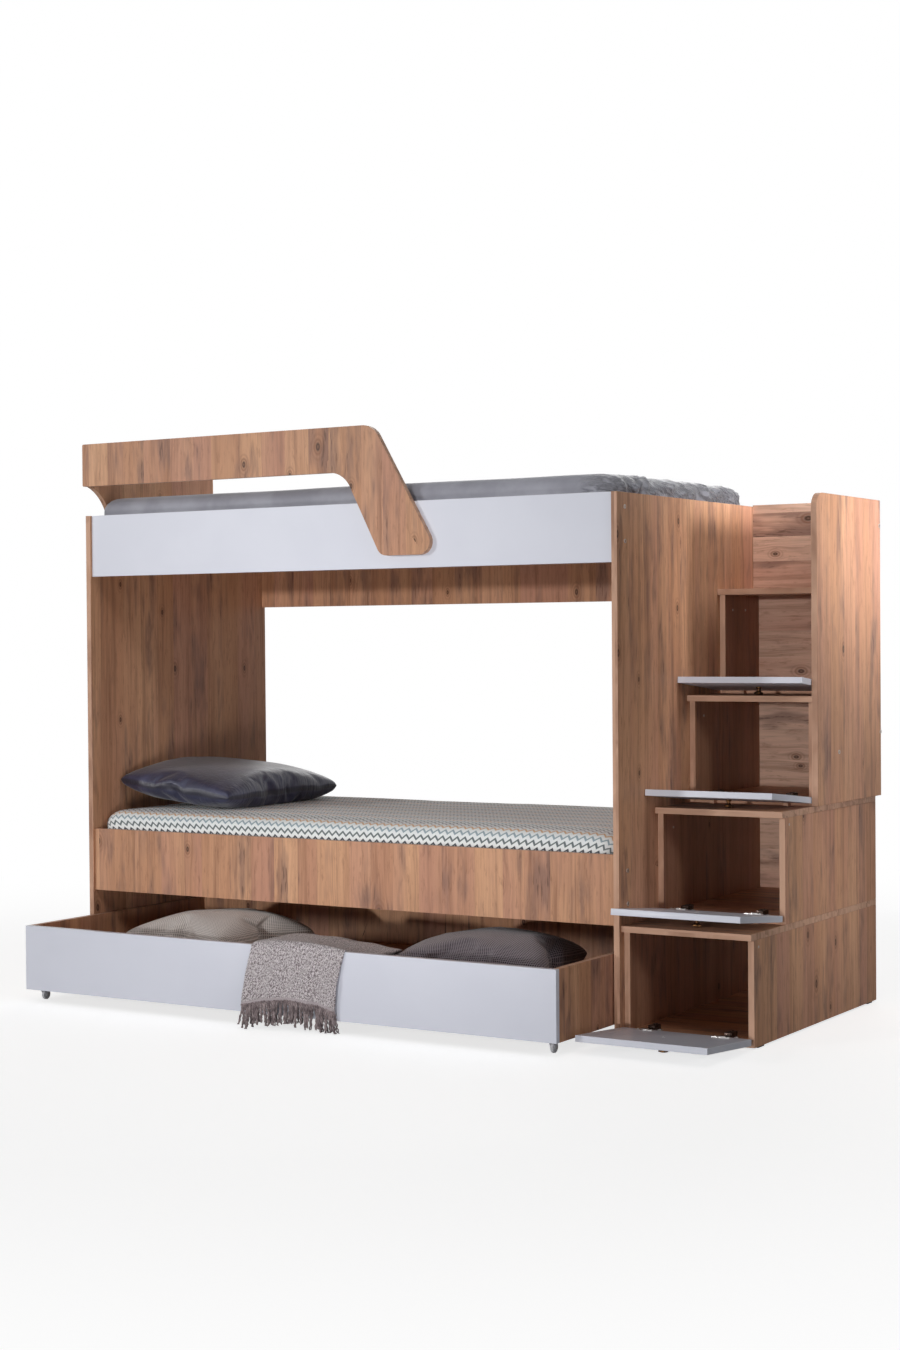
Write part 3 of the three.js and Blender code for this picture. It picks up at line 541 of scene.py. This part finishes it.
class Shape:
    """Collects blocks and turned forms into one mesh."""

    def __init__(self):
        self.mesh = bmesh.new()

    def block(self, x, y, z, half, depth, height, soften=0.0006):
        """A softened block that starts at y and z and reaches as far to both sides of x."""
        made = bmesh.ops.create_cube(self.mesh, size=1)["verts"]
        for vertex in made:
            across, back, rise = vertex.co
            vertex.co = (x + across * half * 2, y + (back + 0.5) * depth, z + (rise + 0.5) * height)
        edges = list({edge for vertex in made for edge in vertex.link_edges})
        bmesh.ops.bevel(self.mesh, geom=edges, offset=soften, segments=2, affect="EDGES", profile=0.5)

    def turned(self, outline, middle, axis="Z", steps=32):
        """Turns (radius, height) points about an axis through the middle."""
        upright = {
            "Z": Matrix.Identity(3), "X": Matrix.Rotation(pi / 2, 3, "Y"),
            "Y": Matrix.Rotation(-pi / 2, 3, "X"),
        }[axis]
        rings = []
        for radius, height in outline:
            ring = []
            for i in range(steps if radius else 1):
                angle = i / steps * tau
                spot = Vector((radius * cos(angle), radius * sin(angle), height))
                ring.append(self.mesh.verts.new(upright @ spot + Vector(middle)))
            rings.append(ring)
        for first, second in zip(rings, rings[1:]):
            for i in range(steps):
                j = (i + 1) % steps
                ways = ((first, i), (first, j), (second, j), (second, i))
                self.mesh.faces.new(list(dict.fromkeys(ring[k % len(ring)] for ring, k in ways)))

    def done(self, name, material, body, move=None, angle=0.6):
        bmesh.ops.recalc_face_normals(self.mesh, faces=self.mesh.faces[:])
        if move:
            bmesh.ops.transform(self.mesh, matrix=move, verts=self.mesh.verts[:])
        mesh = bpy.data.meshes.new(name)
        self.mesh.to_mesh(mesh)
        self.mesh.free()
        mesh.materials.append(material)
        mesh.shade_smooth()
        mesh.set_sharp_from_angle(angle=angle)
        piece = placed(name, mesh)
        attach(piece, body)


hinge_axis = {
    joint["name"]: Vector(joint["pos_m"]) for joint in frame["joints"] if joint["name"].startswith("flap")
}
arms, wings = Shape(), Shape()
for n, angle in open_angle.items():
    axis = hinge_axis[f"flap_{n}_hinge"]
    swung = Matrix.Translation(axis) @ Matrix.Rotation(radians(angle), 4, "X")
    plates, jaws = Shape(), Shape()
    face = face_depth + plate_thickness
    for x in (-hinge_half_spacing, hinge_half_spacing):
        plate_low = cup_center - plate_depth / 2
        plates.block(x, face_depth - seat, plate_low, plate_half, plate_thickness + seat, plate_depth)
        plates.turned(cup_outline, (x, face_depth, cup_center), "Y")
        jaws.block(x, face_depth, jaw_start, jaw_half, jaw_height, cup_center + jaw_half - jaw_start, 0.0012)
        cx, arm_y, wing_y, cz = axis.x + x, axis.y + arm_start, axis.y + wing_start, axis.z + floor_drop
        arms.block(cx, arm_y, cz, arm_half, arm_length, arm_height, 0.0024)
        for share in arm_screws:
            arms.turned(screw_outline, (cx, arm_y + arm_length * share, cz + arm_height), "Z", 16)
        wings.block(cx, wing_y, cz, wing_half, wing_depth, wing_height)
        for side in (-1, 1):
            plates.turned(screw_outline, (x + side * (plate_half - screw_inset), face, cup_center), "Y", 16)
            place = (cx + side * (wing_half - screw_inset), wing_y + wing_depth / 2, cz + wing_height)
            wings.turned(screw_outline, place, "Z", 16)
    plates.turned(screw_outline, (0, face_depth, knob_level[n]), "Y", 16)
    plates.done(f"hinge_cups_{n}", steel.material, f"stair_flap_{n}", swung)
    jaws.done(f"hinge_jaws_{n}", dark_metal.material, f"stair_flap_{n}", swung)
arms.done("hinge_arms", dark_metal.material, "bed_frame")
wings.done("hinge_wings", steel.material, "bed_frame")


# Knobs
# Turned knobs in oiled bronze, patchily dark and bright. Each open flap rests on its knob.
bronze = Finish("bronze")
patina = bronze.grain(130.0, 3.0)
turning = bronze.grain(900.0, 1.0)
bronze.surface(
    Base_Color=bronze.mix(patina.between(0.40, 0.62), srgb(64, 42, 28), srgb(140, 98, 62)),
    Metallic=0.9, Roughness=turning * 0.2 + patina * 0.2 + 0.16,
)
bronze.bump(turning, 0.12, 0.0002)
for n in (1, 2, 3, 4):
    dress(bronze.material, f"knob_{n}", radius=None)
    frame["nodes"][f"knob_{n}"].data.shade_smooth()


# Drawer
# White front, oak sides and back, and a base that lies on two battens.
dress(oak_side, "drawer_left_side", "drawer_right_side")
dress(oak_front, "drawer_back")
dress(oak_level, "drawer_base")


# Casters
# Small swivel casters: a pale grey die-cast fork on a stem, and a moulded wheel on a riveted pin.
axle_head = [(0, 0.0012), (0.0018, 0.0011), (0.0033, 0.0005), (0.0036, 0.0)]
cheek_gap, cheek_thickness = 0.0006, 0.002
fork_grey = Finish("cast_grey")
grain = fork_grey.grain(520.0, 2.0)
fork_grey.surface(
    Base_Color=fork_grey.mix(grain, srgb(182, 182, 188), srgb(214, 214, 220)),
    Metallic=0.15, Roughness=grain * 0.2 + 0.34,
)
fork_grey.bump(grain, 0.2, 0.0003)
tyre = Finish("caster_tyre")
dust = tyre.grain(240.0, 3.0)
tyre.surface(
    Base_Color=tyre.mix(dust.between(0.4, 0.7), srgb(184, 184, 189), srgb(216, 216, 220)),
    Roughness=dust * 0.2 + 0.5,
)
tyre.bump(dust, 0.2, 0.0003)
for corner in ("front_left", "front_right", "rear_left", "rear_right"):
    dress(fork_grey.material, f"caster_fork_{corner}", radius=0.0003)
    dress(tyre.material, f"caster_wheel_{corner}", radius=None)
    low, high = map(Vector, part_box(f"caster_wheel_{corner}"))
    middle = (low + high) / 2
    reach = (high.x - low.x) / 2 + cheek_gap + cheek_thickness
    pins = Shape()
    for side in (1, -1):
        outline = [(radius, side * height) for radius, height in axle_head]
        pins.turned(outline, (middle.x + side * reach, middle.y, middle.z), "X", 20)
    pins.done(f"axle_heads_{corner}", steel.material, f"caster_{corner}")


# Mattresses in fitted sheets
# Foam mattresses with rounded edges and a low crown. The sheets are pulled tight over them: the
# upper one is grey and creased at its right end, the lower one carries zigzag rows.
mattress_corner, mattress_edge, mattress_crown = 0.060, 0.042, 0.006
crown_reach = 0.17
edge_steps, wall_steps, slope_steps, top_steps = 5, 10, 10, 16
corner_steps, side_steps, end_steps = 7, 110, 96
middle_seam = 0.004
zigzag_period, zigzag_pitch, zigzag_rise = 0.0260, 0.0212, 0.0125
zigzag_shift = -0.0145
crease_start, crease_depth = 0.62, 0.013
tucks, tuck_width, tuck_depth = (-0.166, -0.096), 0.013, 0.015
tuck_level, tuck_lean = 1.56, 0.25      # where a tuck's shade crosses its place, and how it leans
# Widths of each tuck's painted highlight and painted shade bands, and how far the shade band lies from the
# highlight.
tuck_crest, tuck_groove, tuck_gap = 0.011, 0.012, 0.019


def sheet_over(node, material, shift):
    """A mattress in its sheet. shift(place, outward, level) moves each point of the smooth form."""
    low, high = map(Vector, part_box(node))
    middle, half = (low + high) / 2, (high - low) / 2
    height = high.z - low.z
    shoulder = height - mattress_crown
    bends = [pi / 2 * i / edge_steps for i in range(edge_steps + 1)]
    rings = [(mattress_edge * (1 - sin(a)), mattress_edge * (1 - cos(a))) for a in bends]
    side = shoulder - 2 * mattress_edge
    rings += [(0.0, mattress_edge + side * i / (wall_steps + 1)) for i in range(1, wall_steps + 1)]
    rings += [(mattress_edge * (1 - cos(a)), shoulder - mattress_edge * (1 - sin(a))) for a in bends]
    run = crown_reach - mattress_edge
    slope = [mattress_edge + run * i / slope_steps for i in range(1, slope_steps + 1)]
    rings += [(i, shoulder + mattress_crown * sin(pi / 2 * (i - mattress_edge) / run)) for i in slope]
    top = half.y - middle_seam - crown_reach
    rings += [(crown_reach + top * i / top_steps, height) for i in range(1, top_steps + 1)]
    points, unrolled, spreads = [], [], []
    spread, before = 0.0, rings[-1]
    for ring in reversed(rings):
        spread += hypot(ring[0] - before[0], ring[1] - before[1])
        spreads.append(rings[-1][0] - spread)
        before = ring
    for (inset, z), out in zip(rings, reversed(spreads)):
        for at, flat in zip(outline(half, inset), outline(half, out)):
            outward = Vector((at.x, at.y, 0)) * 0.2 + Vector((0, 0, z - height / 2))
            place = Vector((at.x + middle.x, at.y + middle.y, z + low.z))
            points.append(place + shift(place, outward.normalized(), z / height))
            unrolled.append((flat.x, flat.y))
    count = len(outline(half, 0))
    faces = grid_faces(len(rings), count, closed=True)
    faces.append(tuple(reversed(range(count))))
    faces.append(tuple(range((len(rings) - 1) * count, len(rings) * count)))
    piece = mesh_object(node + "_in_sheet", points, faces, material, unrolled)
    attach(piece, "bed_frame")
    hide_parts(node)


def outline(half, inset):
    """A rectangle with rounded corners, the same number of points for every inset."""
    hx, hy = half.x - inset, half.y - inset
    radius = max(0.002, min(mattress_corner * (1 - inset / half.y), hx, hy))

    def rim(turn, share):
        """A point on a corner's arc, some share of the way round it."""
        sx, sy = ((1, 1), (-1, 1), (-1, -1), (1, -1))[turn % 4]
        angle = (turn + share) * pi / 2
        return Vector((
            sx * (hx - radius) + radius * cos(angle), sy * (hy - radius) + radius * sin(angle), 0,
        ))

    spots = []
    for turn, pieces in enumerate((side_steps, end_steps, side_steps, end_steps)):
        spots += [rim(turn, i / corner_steps) for i in range(corner_steps + 1)]
        start, end = spots[-1], rim(turn + 1, 0)
        spots += [start.lerp(end, i / pieces) for i in range(1, pieces)]
    return spots


def ridge(place, seed):
    """Sharp creases: 1 on the crest of a fold and near 0 away from it."""
    return (1 - abs(noise.noise(place + Vector((seed, seed * 2, seed * 3))))) ** 7


def creased(place, outward, level):
    """Creases fan out from the right end's front corner, and the top edge sags a little."""
    near = max(0.0, min(1.0, (place.x - crease_start) / 0.12))
    turned = Vector((place.x * 4 + place.z * 9, place.y * 9 - place.z * 5, place.z * 12 - place.y * 3))
    fold = ridge(turned, 3.0) - 0.35 + 0.45 * (ridge(turned * 2.1, 8.0) - 0.3)
    swell = 0.0028 * noise.noise(place * 3.5) * (0.3 + level)
    tucked = sum(exp(-((place.y + 0.03 * level - tuck) / tuck_width) ** 2) for tuck in tucks)
    folds = crease_depth * fold + tuck_depth * tucked * (1 - level ** 6)
    return outward * (near * folds * min(1.0, level * 3) + swell)


def gently_waved(place, outward, level):
    """The lower sheet lies smooth, with shallow waves along its edge."""
    wave = noise.noise(Vector((place.x * 2.2, place.y * 2.2, place.z * 5)))
    small = noise.noise(Vector((place.x * 9, place.y * 7, place.z * 14 + 5)))
    return outward * (0.0035 * wave + 0.0012 * small) * min(1.0, level * 2)


grey_sheet = Finish("grey_sheet")
x, y, z = (grey_sheet.part(grey_sheet.place, axis) for axis in "XYZ")
satin = grey_sheet.grain(7.0, 3.0, 0.6)
weave = grey_sheet.grain(850.0, 1.0)
far_end = x.between(0.60, 0.70)
fan = grey_sheet.noise((y * 16 + z * 30, z * 11 - y * 7, x * 12), 3.0, 0.65)
crinkle = (1 - abs(fan - 0.5) * 9).clamp() * far_end
small = grey_sheet.noise((y * 60 + z * 40, z * 70 - y * 20, x * 40), 2.0)
# Painted shade: the creases of the right end are darkened, and the end gets darker towards the back.
painted_end_shade = (crinkle * 0.7 + y.between(-0.10, 0.45) * 0.7 * far_end).clamp()
grey_colour = grey_sheet.mix(satin.between(0.35, 0.65), srgb(144, 144, 154), srgb(166, 166, 176))
grey_colour = grey_sheet.mix(painted_end_shade, grey_colour, srgb(84, 84, 90))
# Painted highlight and painted shade: each tuck gets a light band on its crest and a dark band in its groove.
for tuck in tucks:
    across = y + small * 0.012 + (z - tuck_level) * tuck_lean - tuck
    crest_painted_highlight = (1 - abs(across) / tuck_crest).clamp() * far_end
    groove_painted_shade = (1 - abs(across - tuck_gap) / tuck_groove).clamp() * far_end
    grey_colour = grey_sheet.mix(crest_painted_highlight * 0.8, grey_colour, srgb(206, 206, 214))
    grey_colour = grey_sheet.mix(groove_painted_shade * 0.7, grey_colour, srgb(78, 78, 84))
grey_sheet.surface(
    Base_Color=grey_sheet.mix(weave * 0.25, grey_colour, srgb(118, 118, 128)),
    Roughness=weave * 0.12 + 0.5 - far_end * 0.16, Sheen_Weight=0.25, Sheen_Roughness=0.5,
)
grey_sheet.bump(weave * 0.12 + satin * 0.6 + small * far_end * 1.2 - crinkle * 2.0, 0.6, 0.004)
sheet_over("upper_mattress", grey_sheet.material, creased)

zigzag = Finish("zigzag_sheet")
u, v = zigzag.cloth()
peak = abs((u / zigzag_period).fract() - 0.5)
row = (v + zigzag_shift + peak * 2 * zigzag_rise) / zigzag_pitch
stripe = 1 - abs(row.fract() - 0.5).between(0.15, 0.21)
order = ((row.math("FLOOR") + 0.5) / 5).fract()
row_colours = (
    srgb(150, 136, 140), srgb(16, 26, 40), srgb(84, 96, 98), srgb(142, 160, 168), srgb(212, 172, 132),
)
ink = zigzag.node("ValToRGB", _0=order)
ramp = ink.socket.node.color_ramp
ramp.interpolation = "CONSTANT"
for k, colour in enumerate(row_colours):
    stop = ramp.elements[k] if k < 2 else ramp.elements.new(1.0)
    stop.position, stop.color = k / len(row_colours), colour
threads = zigzag.grain(900.0, 1.0)
ground = zigzag.mix(threads * 0.4, srgb(238, 240, 240), srgb(214, 219, 220))
zigzag.surface(
    Base_Color=zigzag.mix(stripe * 0.94, ground, ink), Roughness=threads * 0.15 + 0.7, Sheen_Weight=0.15,
)
zigzag.bump(threads, 0.12, 0.0006)
sheet_over("lower_mattress", zigzag.material, gently_waved)


# Pillow
# A slack satin pillow: two panels sewn along their border and blown up as cloth, so that the
# seam puckers and the corners stand out. It leans on the left panel and lies on the sheet.
pillow_flat = (0.500, 0.710)
pillow_size = (0.456, 0.660, 0.144)
pillow_pressure, pillow_fullness = 0.8, 0.70
pillow_rest = -0.044
pillow_lean, pillow_aside = 6.0, 0.0135
cloth_steps = 26                        # frames for the pressure to settle
cloth_rules = {
    "quality": 6, "mass": 0.25, "use_pressure": True, "bending_stiffness": 0.12,
    "tension_stiffness": 18.0, "compression_stiffness": 3.0, "shear_stiffness": 5.0,
    "tension_damping": 4.0, "compression_damping": 4.0, "shear_damping": 4.0,
}
pillow_cell = 0.0105
corner_draw = 0.15                      # how far the sides draw in between the corners


def blown_up(name, flat, size, rest, pressure, fullness, cell, material):
    """Two panels, flat[0] by flat[1], sewn together and blown up, then brought to size.

    What would hang below rest is pressed flat, as where the piece lies on something."""
    nx, ny = (round(side / cell) for side in flat)
    points, uvs, index = [], [], {}
    for side in (1, -1):
        for j in range(ny + 1):
            for i in range(nx + 1):
                border = i in (0, nx) or j in (0, ny)
                if border and side < 0:
                    index[side, i, j] = index[1, i, j]
                    continue
                a, b = i / nx * 2 - 1, j / ny * 2 - 1
                lift = side * 0.16 * size[2] * ((1 - a ** 4) * (1 - b ** 4)) ** 0.5
                lift += 0.0012 * noise.noise(Vector((a * 3, b * 3, 4.0 * side + size[0] * 10)))
                index[side, i, j] = len(points)
                drawn = (1 - corner_draw * b * b) ** 0.5, (1 - corner_draw * a * a) ** 0.5
                points.append((a * drawn[0] * flat[0] / 2, b * drawn[1] * flat[1] / 2, lift))
                uvs.append((a * flat[0] / 2, b * flat[1] / 2))
    faces = []
    for side in (1, -1):
        for j in range(ny):
            for i in range(nx):
                steps = ((i, j), (i + 1, j), (i + 1, j + 1), (i, j + 1))
                ring = [index[side, *step] for step in steps]
                faces.append(ring if side > 0 else ring[::-1])
    piece = mesh_object(name, points, faces, material, uvs)
    cloth = piece.modifiers.new("cloth", "CLOTH")
    for rule, value in {**cloth_rules, "uniform_pressure_force": pressure}.items():
        setattr(cloth.settings, rule, value)
    cloth.settings.effector_weights.gravity = 0.0
    cloth.collision_settings.use_collision = False
    for step in range(1, cloth_steps + 1):
        scene.frame_set(step)
    blown = settled(piece)
    piece.modifiers.remove(cloth)
    piece.data = blown
    scene.frame_set(1)
    own_low, own_high = extent(piece)
    for vertex in piece.data.vertices:
        spot = Vector(vertex.co[k] * size[k] / (own_high[k] - own_low[k]) for k in range(3))
        spot.z = copysign((abs(spot.z) * 2 / size[2]) ** fullness * size[2] / 2, spot.z)
        if spot.z < rest:
            spot.z = rest + (spot.z - rest) * 0.04
        vertex.co = spot
    piece.data.shade_smooth()
    return piece


def extent(piece):
    """The lowest and the highest corner of a piece's own mesh."""
    spots = [vertex.co for vertex in piece.data.vertices]
    return (Vector(pick(spot[k] for spot in spots) for k in range(3)) for pick in (min, max))


def lay(piece, node, move, aside, body):
    """Puts a blown-up piece where its CAD solid lies: turned by move, a little aside from its middle."""
    low, high = map(Vector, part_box(node))
    piece.data.transform(move)
    own_low, own_high = extent(piece)
    shift = (low + high) / 2 - (own_low + own_high) / 2
    shift.x += aside
    shift.z = low.z - own_low.z + 0.0006
    piece.data.transform(Matrix.Translation(shift))
    smoother = piece.modifiers.new("smoother", "SUBSURF")
    smoother.levels = smoother.render_levels = 1
    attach(piece, body)
    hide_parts(node)


slate = Finish("slate_satin")
u, v = slate.cloth()
edge_u, edge_v = abs(u) * 2 / pillow_flat[0], abs(v) * 2 / pillow_flat[1]
seam = edge_u.math("MAXIMUM", edge_v).between(0.975, 0.992)
sheen_patch = slate.grain(9.0, 3.0, 0.6)
crinkle = abs(slate.noise((u * 22, v * 34, 1.0), 3.0, 0.65) - 0.5)
gather_u = slate.noise((u * 9, v * 70, 2.0), 2.0) * edge_u.between(0.72, 0.97)
gather_v = slate.noise((u * 70, v * 9, 5.0), 2.0) * edge_v.between(0.78, 0.97)
thread = slate.noise((u * 1500, v * 500, 0.0), 1.0)
satin = slate.mix(sheen_patch.between(0.35, 0.7), srgb(44, 45, 66), srgb(61, 62, 89))
slate.surface(
    Base_Color=slate.mix(seam * 0.7, satin, srgb(22, 20, 28)),
    Roughness=thread * 0.15 + 0.38, Sheen_Weight=0.25, Sheen_Roughness=0.4, Specular_IOR_Level=0.55,
)
slate.bump(gather_u * 1.6 + gather_v * 1.6 - crinkle * 2.4 - seam * 0.8 + thread * 0.1, 0.55, 0.0022)
pillow = blown_up(
    "slate_pillow", pillow_flat, pillow_size, pillow_rest, pillow_pressure, pillow_fullness, pillow_cell,
    slate.material,
)
lay(pillow, "pillow", Matrix.Rotation(radians(pillow_lean), 4, "Y"), pillow_aside, "bed_frame")


# Drawer cushions
# Two cushions in waffle cloth, one pale and one dark, plumper than the pillow. Their covers show
# a grid of ribs and furrows that follows the cloth. The furrows are darker than the ribs: partly the cloth's
# colour, partly painted shade.
cushion_flat = (0.575, 0.500)
cushion_sides = (0.475, 0.410)
cushion_rest = 0.42
cushion_pressure, cushion_fullness, cushion_cell = 1.6, 0.72, 0.0125
waffle_pitch = 0.0074
cushions = {
    "pale_cushion": (0.190, 0.30, -12.0, 0.022, srgb(242, 233, 227), srgb(156, 144, 138)),
    "dark_cushion": (0.172, 0.10, 8.0, -0.060, srgb(154, 141, 149), srgb(36, 28, 33)),
}
for node, (height, skew, angle, aside, rib, pit_with_painted_shade) in cushions.items():
    waffle = Finish(node + "_waffle")
    up, over = (abs((way / waffle_pitch).fract() - 0.5).between(0.24, 0.44) for way in waffle.cloth())
    ribs = up.math("MAXIMUM", over)
    fuzz = waffle.grain(620.0, 2.0)
    tint = waffle.grain(8.0, 2.0)
    waffle.surface(
        # The furrows take the darker pit colour, which holds painted shade as well as the cloth's own colour.
        Base_Color=waffle.mix(ribs * (fuzz * 0.3 + tint * 0.3 + 0.6), pit_with_painted_shade, rib),
        Roughness=fuzz * 0.1 + 0.82, Sheen_Weight=0.3, Sheen_Roughness=0.5,
    )
    waffle.bump(ribs + fuzz * 0.3, 0.8, 0.0020)
    cushion = blown_up(
        node + "_cover", cushion_flat, (*cushion_sides, height), -cushion_rest * height, cushion_pressure,
        cushion_fullness, cushion_cell, waffle.material,
    )
    for vertex in cushion.data.vertices:
        vertex.co.z *= 1 + skew * (vertex.co.x / cushion_sides[0] - 0.5)
    lay(cushion, node, Matrix.Rotation(radians(angle), 4, "Z"), aside, "bed_drawer")


# Throw
# A melange blanket, folded into a pile behind the drawer front. Its end runs over the front,
# hangs down outside with slack folds and ends in a pale hem and a twisted fringe.
throw_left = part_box("throw")[0][0]
throw_width, pile_width = 0.326, 0.375
throw_columns = 72
throw_half = 0.0028
front_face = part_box("drawer_front")[0][1]
front_back, front_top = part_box("drawer_front")[1][1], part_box("drawer_front")[1][2]
hem_low, hem_band = 0.064, 0.010
pile_layers, pile_pitch = 6, 0.0178
drop_rows, bend_rows, layer_rows, fold_rows = 28, 8, 12, 6
clearance = 0.0012                      # between the throw and the drawer front
pile_front, pile_back = front_back + 0.010, front_back + 0.196
flare, fold_depth, side_draw = 0.058, 0.010, 0.036
fringe_count = 78


def throw_path(share):
    """Points down the throw from its hem to the pile's last layer, at one share of its width."""
    wave = sin((share * 3.1 + 0.25) * tau) + 0.5 * sin((share * 5.3 + 0.6) * tau)
    hump = 0.012 * sin(pi * min(1.0, share * 1.05)) ** 0.8
    hem = hem_low + 0.020 * sin(pi * share) + 0.004 * (1 - share)
    top = front_top + throw_half + clearance
    front = front_face - throw_half - clearance
    path = []

    def put(width, y, z, start=0.0):
        path.append(Vector((throw_left + start + width * share, y, z)))

    # Down the drawer front, from the hem up
    for i in range(drop_rows + 1):
        z = hem + (top - 0.006 - hem) * i / drop_rows
        down = (top - z) / (top - hem_low)
        out = flare * (1 - share) ** 1.3 * down ** 1.7
        out += fold_depth * (0.55 + 0.45 * wave) * min(1.0, 1.8 * down)
        out += 0.003 * noise.noise(Vector((share * 9, z * 26, 1.0)))
        across = throw_width - side_draw * down ** 1.4
        put(across, front - out, z, 0.006 * down - 0.010 * sin(pi * down))

    # Over the front's top edge
    for i in range(1, bend_rows + 1):
        angle = pi / 2 * i / bend_rows
        y = front + (0.010 + hump * 0.5) * (1 - cos(angle))
        z = top - 0.006 + (0.006 + hump) * sin(angle)
        put(throw_width, y, z)

    # To and fro in the pile, which slumps towards its right end
    level = top + 0.002
    slump = 0.042 * max(0.0, share - 0.35) ** 1.2
    for layer in range(pile_layers):
        forward = layer % 2 == 1
        for i in range(layer_rows + 1):
            part = i / layer_rows
            y = (pile_back - part * (pile_back - pile_front)) if forward else (
                pile_front - (0.006 if layer == 0 else 0) + part * (pile_back - pile_front))
            widen = min(1.0, (y - front_back) / 0.11) if layer == 0 else 1.0
            widen = max(0.0, widen) ** 0.8
            width = throw_width + (pile_width - throw_width) * widen
            sag = hump * (1 - widen) if layer == 0 else 0
            bumpy = 0.0035 * noise.noise(Vector((share * 5 + layer * 3, y * 22, layer * 1.7)))
            edge = 0.004 * sin(share * 19 + layer * 2.3)
            z = level + sag + bumpy - slump * (1 - layer / pile_layers)
            put(width, y + edge, z)
        if layer < pile_layers - 1:
            end = pile_front if forward else pile_back
            swing = -1 if forward else 1
            for i in range(1, fold_rows):
                angle = pi * i / fold_rows
                y = end + edge + swing * pile_pitch / 2 * sin(angle)
                z = level - pile_pitch / 2 * (1 - cos(angle)) + bumpy * (1 - i / fold_rows)
                z -= slump * (1 - (layer + i / fold_rows) / pile_layers)
                put(pile_width, y, z)
            level -= pile_pitch
    return path


columns = [throw_path(c / throw_columns) for c in range(throw_columns + 1)]
uvs = []
for c, path in enumerate(columns):
    run = 0.0
    for k, spot in enumerate(path):
        run += (spot - path[k - 1]).length if k else 0.0
        uvs.append((c / throw_columns * pile_width, run))
faces = grid_faces(len(columns), len(columns[0]))
melange = Finish("melange_weave")
u, v = melange.cloth()
rising = melange.noise(((u + v) * 90, (u - v) * 270, 0.0), 2.0)
falling = melange.noise(((u + v) * 270, (u - v) * 90, 3.0), 2.0)
which = melange.noise((u * 60, v * 60, 0.0), 1.0).between(0.45, 0.55)
fleck = (rising * which + falling * (1 - which)).between(0.46, 0.55)
yarn = melange.mix(fleck, srgb(216, 208, 210), srgb(124, 112, 115))
band = 1 - v.between(hem_band - 0.002, hem_band)
fluff = melange.grain(500.0, 2.0)
hem_yarn = melange.mix(fluff * 0.5, srgb(180, 169, 172), srgb(146, 134, 137))
melange.surface(
    Base_Color=melange.mix(band, yarn, hem_yarn),
    Roughness=fluff * 0.1 + 0.86, Sheen_Weight=0.35, Sheen_Roughness=0.5,
)
melange.bump(fluff * 0.4 - fleck * (1 - band) * 0.9, 0.7, 0.002)
spots = [spot for path in columns for spot in path]
throw = mesh_object("melange_throw", spots, faces, melange.material, uvs)
thick = throw.modifiers.new("thick", "SOLIDIFY")
thick.thickness, thick.offset = throw_half * 2, 0.0
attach(throw, "bed_drawer")
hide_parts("throw")

strands, add, given = tree_group(
    "twisted_fringe", Length="Float", Ply_Radius="Float", Turns="Float", Wander="Float", Seed="Int",
    Material="Material",
)
foot = add("ShaderNodeCombineXYZ", Z=sums(add, "MULTIPLY", given["Length"], -1.0))
line = add("CurvePrimitiveLine", End=foot)
fine = add("ResampleCurve", Curve=line, Count=16)
ply = add("DuplicateElements", {"domain": "SPLINE"}, Geometry=fine, Amount=2)
phase = sums(add, "MULTIPLY", ply.node.outputs["Duplicate Index"], pi)
down = add("SplineParameter", output="Factor")
angle = sums(add, "ADD", sums(add, "MULTIPLY", down, given["Turns"]), phase)
cosine, sine = sums(add, "COSINE", angle), sums(add, "SINE", angle)
outward = add("ShaderNodeCombineXYZ", X=cosine, Y=sine)
out_by = add("ShaderNodeVectorMath", {"operation": "SCALE"}, _0=outward, Scale=given["Ply Radius"])
spun = add("SetPosition", Geometry=ply, Offset=out_by)
scatter = add("FunctionNodeRandomValue", {"data_type": "FLOAT"}, "Value", _2=0.86, _3=1.10, Seed=given["Seed"])
tilt = add("FunctionNodeRandomValue", {"data_type": "FLOAT_VECTOR"}, "Value",
           _0=(-0.16, -0.20, -3.0), _1=(0.16, 0.20, 3.0), Seed=given["Seed"])
hung = add("InstanceOnPoints", Points=given["Geometry"], Instance=spun, Scale=scatter, Rotation=tilt)
loose = add("RealizeInstances", Geometry=hung)
spot = add("InputPosition")
drift = add("ShaderNodeTexNoise", output="Color", Vector=spot, Scale=42.0)
centred = add("ShaderNodeVectorMath", {"operation": "SUBTRACT"}, _0=drift, _1=(0.5, 0.5, 0.5))
reach = sums(add, "MULTIPLY", down, given["Wander"])
waved = add("ShaderNodeVectorMath", {"operation": "SCALE"}, _0=centred, Scale=reach)
curly = add("SetPosition", Geometry=loose, Offset=waved)
profile = add("CurvePrimitiveCircle", Resolution=5, Radius=given["Ply Radius"])
tubes = add("CurveToMesh", Curve=curly, Profile_Curve=profile, Fill_Caps=True)
end_tree(add, tubes, given["Material"])

fringe_yarn = Finish("fringe_yarn")
twist = fringe_yarn.grain(420.0, 2.0)
clump = fringe_yarn.grain(70.0, 1.0)
dark_ply = (twist * 0.6 + clump * 0.6).between(0.35, 0.8)
fringe_yarn.surface(
    Base_Color=fringe_yarn.mix(dark_ply, srgb(176, 160, 160), srgb(88, 74, 77)),
    Roughness=twist * 0.1 + 0.85, Sheen_Weight=0.3,
)
fringe_yarn.bump(twist, 0.5, 0.001)
roots = []
for i in range(fringe_count):
    at = (i + 0.5) / fringe_count * throw_columns
    c = min(throw_columns - 1, int(at))
    roots.append(columns[c][0].lerp(columns[c + 1][0], at - c) + Vector((0, 0, 0.003)))
fringe = mesh_object("twisted_fringe", roots)
grow(fringe, strands, {
    "Length": 0.070, "Ply Radius": 0.0021, "Turns": 15.0, "Wander": 0.020, "Seed": 4,
    "Material": fringe_yarn.material,
})
# A strand that reaches the floor lies on it
for vertex in fringe.data.vertices:
    vertex.co.z = max(vertex.co.z, 0.0012 + 0.1 * max(0.0, 0.004 + vertex.co.z))
fringe.data.shade_smooth()
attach(fringe, "bed_drawer")
